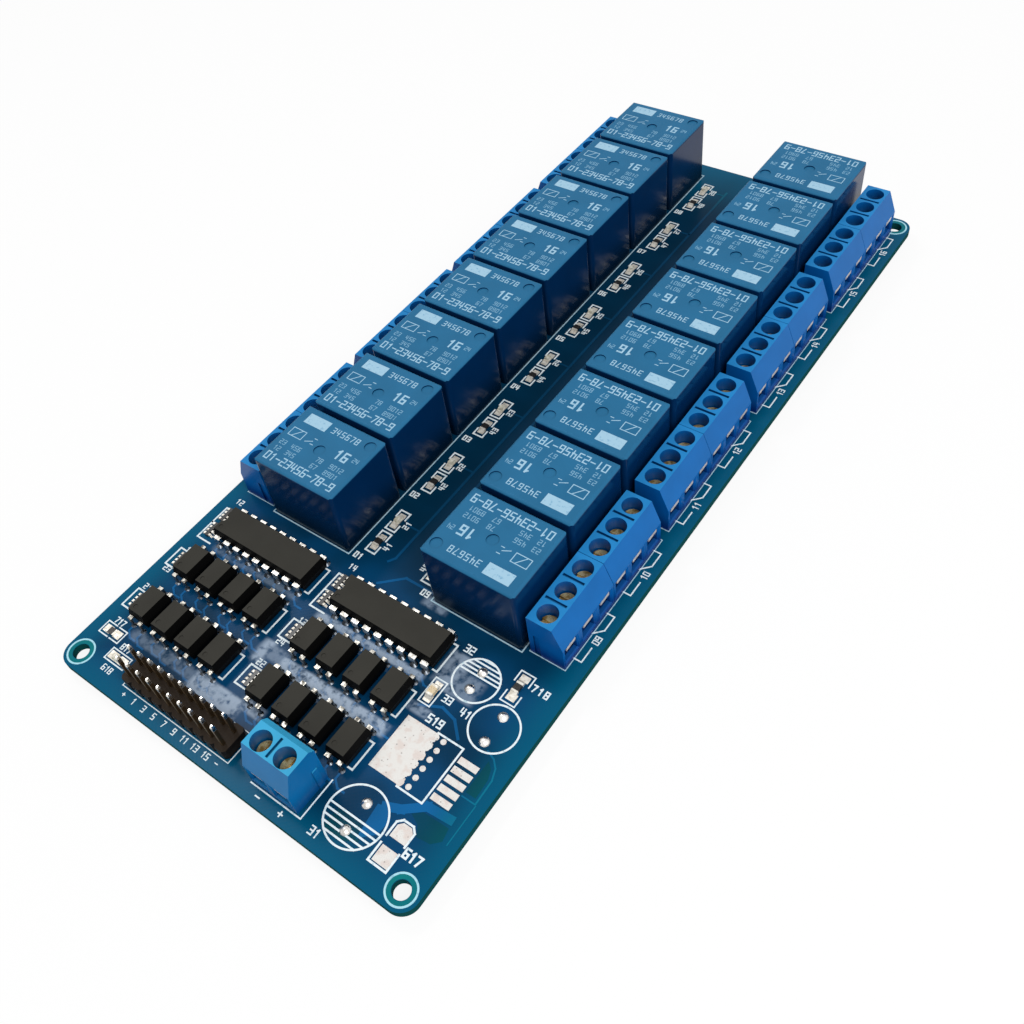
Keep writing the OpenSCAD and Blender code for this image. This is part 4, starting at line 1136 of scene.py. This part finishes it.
@dataclass
class Studio:
    """The pale floor, the soft lights and the camera."""

    floor_size: float = 6.0
    floor_gap: float = 0.00005
    floor_glow: float = 0.87
    room_light: float = 0.45
    camera_at: tuple[float, float, float] = (92.52, -111.48, 151.18)
    camera_turn: tuple[float, float, float] = (40.711, 7.007, 36.454)
    lens: float = 36.88
    shift: Point = (0.0281, -0.0347)

    def build(self) -> None:
        """Sets up the floor, the lights, the world and the camera."""
        self.floor()
        self.world()
        self.softbox("key_softbox", (0.55, -0.25, 0.75), (0.7, 0.7), 7.0)
        self.softbox("window", (-0.247, 0.022, 0.401), (0.11, 0.06), 0.35)
        self.camera()
        bpy.context.scene.view_settings.view_transform = "Standard"

    def floor(self) -> None:
        """Lays a pale floor under the lowest pin, white to the eye and grey to the light."""
        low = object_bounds()[0]
        mesh = bmesh.new()
        bmesh.ops.create_grid(mesh, x_segments=1, y_segments=1, size=self.floor_size / 2,
                              matrix=Matrix.Translation((0, 0, low.z - self.floor_gap)))
        data = bpy.data.meshes.new("floor")
        mesh.to_mesh(data)
        mesh.free()
        floor = bpy.data.objects.new("floor", data)
        bpy.context.scene.collection.objects.link(floor)
        material = bpy.data.materials.new("pale_floor")
        material.use_nodes = True
        tree = material.node_tree
        surface = tree.nodes["Principled BSDF"]
        surface.inputs["Roughness"].default_value = 0.9
        glow = add_node(tree, "ShaderNodeEmission", {"Color": (1, 1, 1, 1), "Strength": 1.0})
        seen = self.seen_directly(tree)
        greys = {"data_type": "RGBA", 6: linear("#bdbdbd"), 7: linear("#f2f2f2")}
        paint = add_node(tree, "ShaderNodeMix", greys, {0: seen})
        tree.links.new(paint.outputs[2], surface.inputs["Base Color"])
        share = add_node(tree, "ShaderNodeMath", {"operation": "MULTIPLY", 1: self.floor_glow}, {0: seen})
        mixed = add_node(tree, "ShaderNodeMixShader", links={0: share.outputs[0], 1: surface.outputs[0],
                                                             2: glow.outputs[0]})
        tree.links.new(mixed.outputs[0], tree.nodes["Material Output"].inputs["Surface"])
        data.materials.append(material)
        floor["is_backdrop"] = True

    def world(self) -> None:
        """Fills the room with even light, white where the camera looks past the floor."""
        world = bpy.data.worlds.new("studio")
        bpy.context.scene.world = world
        world.use_nodes = True
        tree = world.node_tree
        background = tree.nodes["Background"]
        background.inputs["Color"].default_value = (1, 1, 1, 1)
        strength = add_node(tree, "ShaderNodeMapRange", {"To Min": self.room_light, "To Max": 1.0},
                            {"Value": self.seen_directly(tree)})
        tree.links.new(strength.outputs[0], background.inputs["Strength"])

    def seen_directly(self, tree: bpy.types.NodeTree) -> bpy.types.NodeSocket:
        """Gives 1 to the camera's rays and those mirrored or let through, and 0 to all others."""
        path = add_node(tree, "ShaderNodeLightPath")
        seen = add_node(tree, "ShaderNodeMath", {"operation": "ADD"},
                        {0: path.outputs["Is Camera Ray"], 1: path.outputs["Is Glossy Ray"]})
        return add_node(tree, "ShaderNodeMath", {"operation": "ADD", "use_clamp": True},
                        {0: seen.outputs[0], 1: path.outputs["Is Transmission Ray"]}).outputs[0]

    def softbox(self, name: str, place: tuple[float, float, float], size: Point, power: float) -> None:
        """Hangs a soft light that looks at the middle of the board.

        Args:
            name: The light's name.
            place: Where it hangs, in metres.
            size: Its width and height, in metres.
            power: Its power in watts.
        """
        light = bpy.data.lights.new(name, "AREA")
        light.shape = "RECTANGLE"
        light.size, light.size_y = size
        light.energy = power
        lamp = bpy.data.objects.new(name, light)
        lamp.location = place
        lamp.rotation_mode = "QUATERNION"
        lamp.rotation_quaternion = (-Vector(place)).to_track_quat("-Z", "Y")
        bpy.context.scene.collection.objects.link(lamp)

    def camera(self) -> None:
        """Places the camera above the near right corner."""
        data = bpy.data.cameras.new("camera")
        data.sensor_width = 36.0
        data.lens = self.lens
        data.shift_x, data.shift_y = self.shift
        data.clip_start, data.clip_end = 0.005, 20.0
        camera = bpy.data.objects.new("camera", data)
        camera.location = Vector(self.camera_at) * MM
        camera.rotation_euler = [math.radians(a) for a in self.camera_turn]
        bpy.context.scene.collection.objects.link(camera)
        bpy.context.scene.camera = camera


def main() -> None:
    """Builds the looks in order."""
    logging.basicConfig(level=logging.INFO, format="%(name)s: %(message)s")
    palette = Palette()
    Studio().build()
    Solids().dress(palette)
    for part in (CopperUnderMask(), BoardPrint(), RelayPrint(), LeadSolder()):
        part.build(palette)


if __name__ == "__main__":
    main()
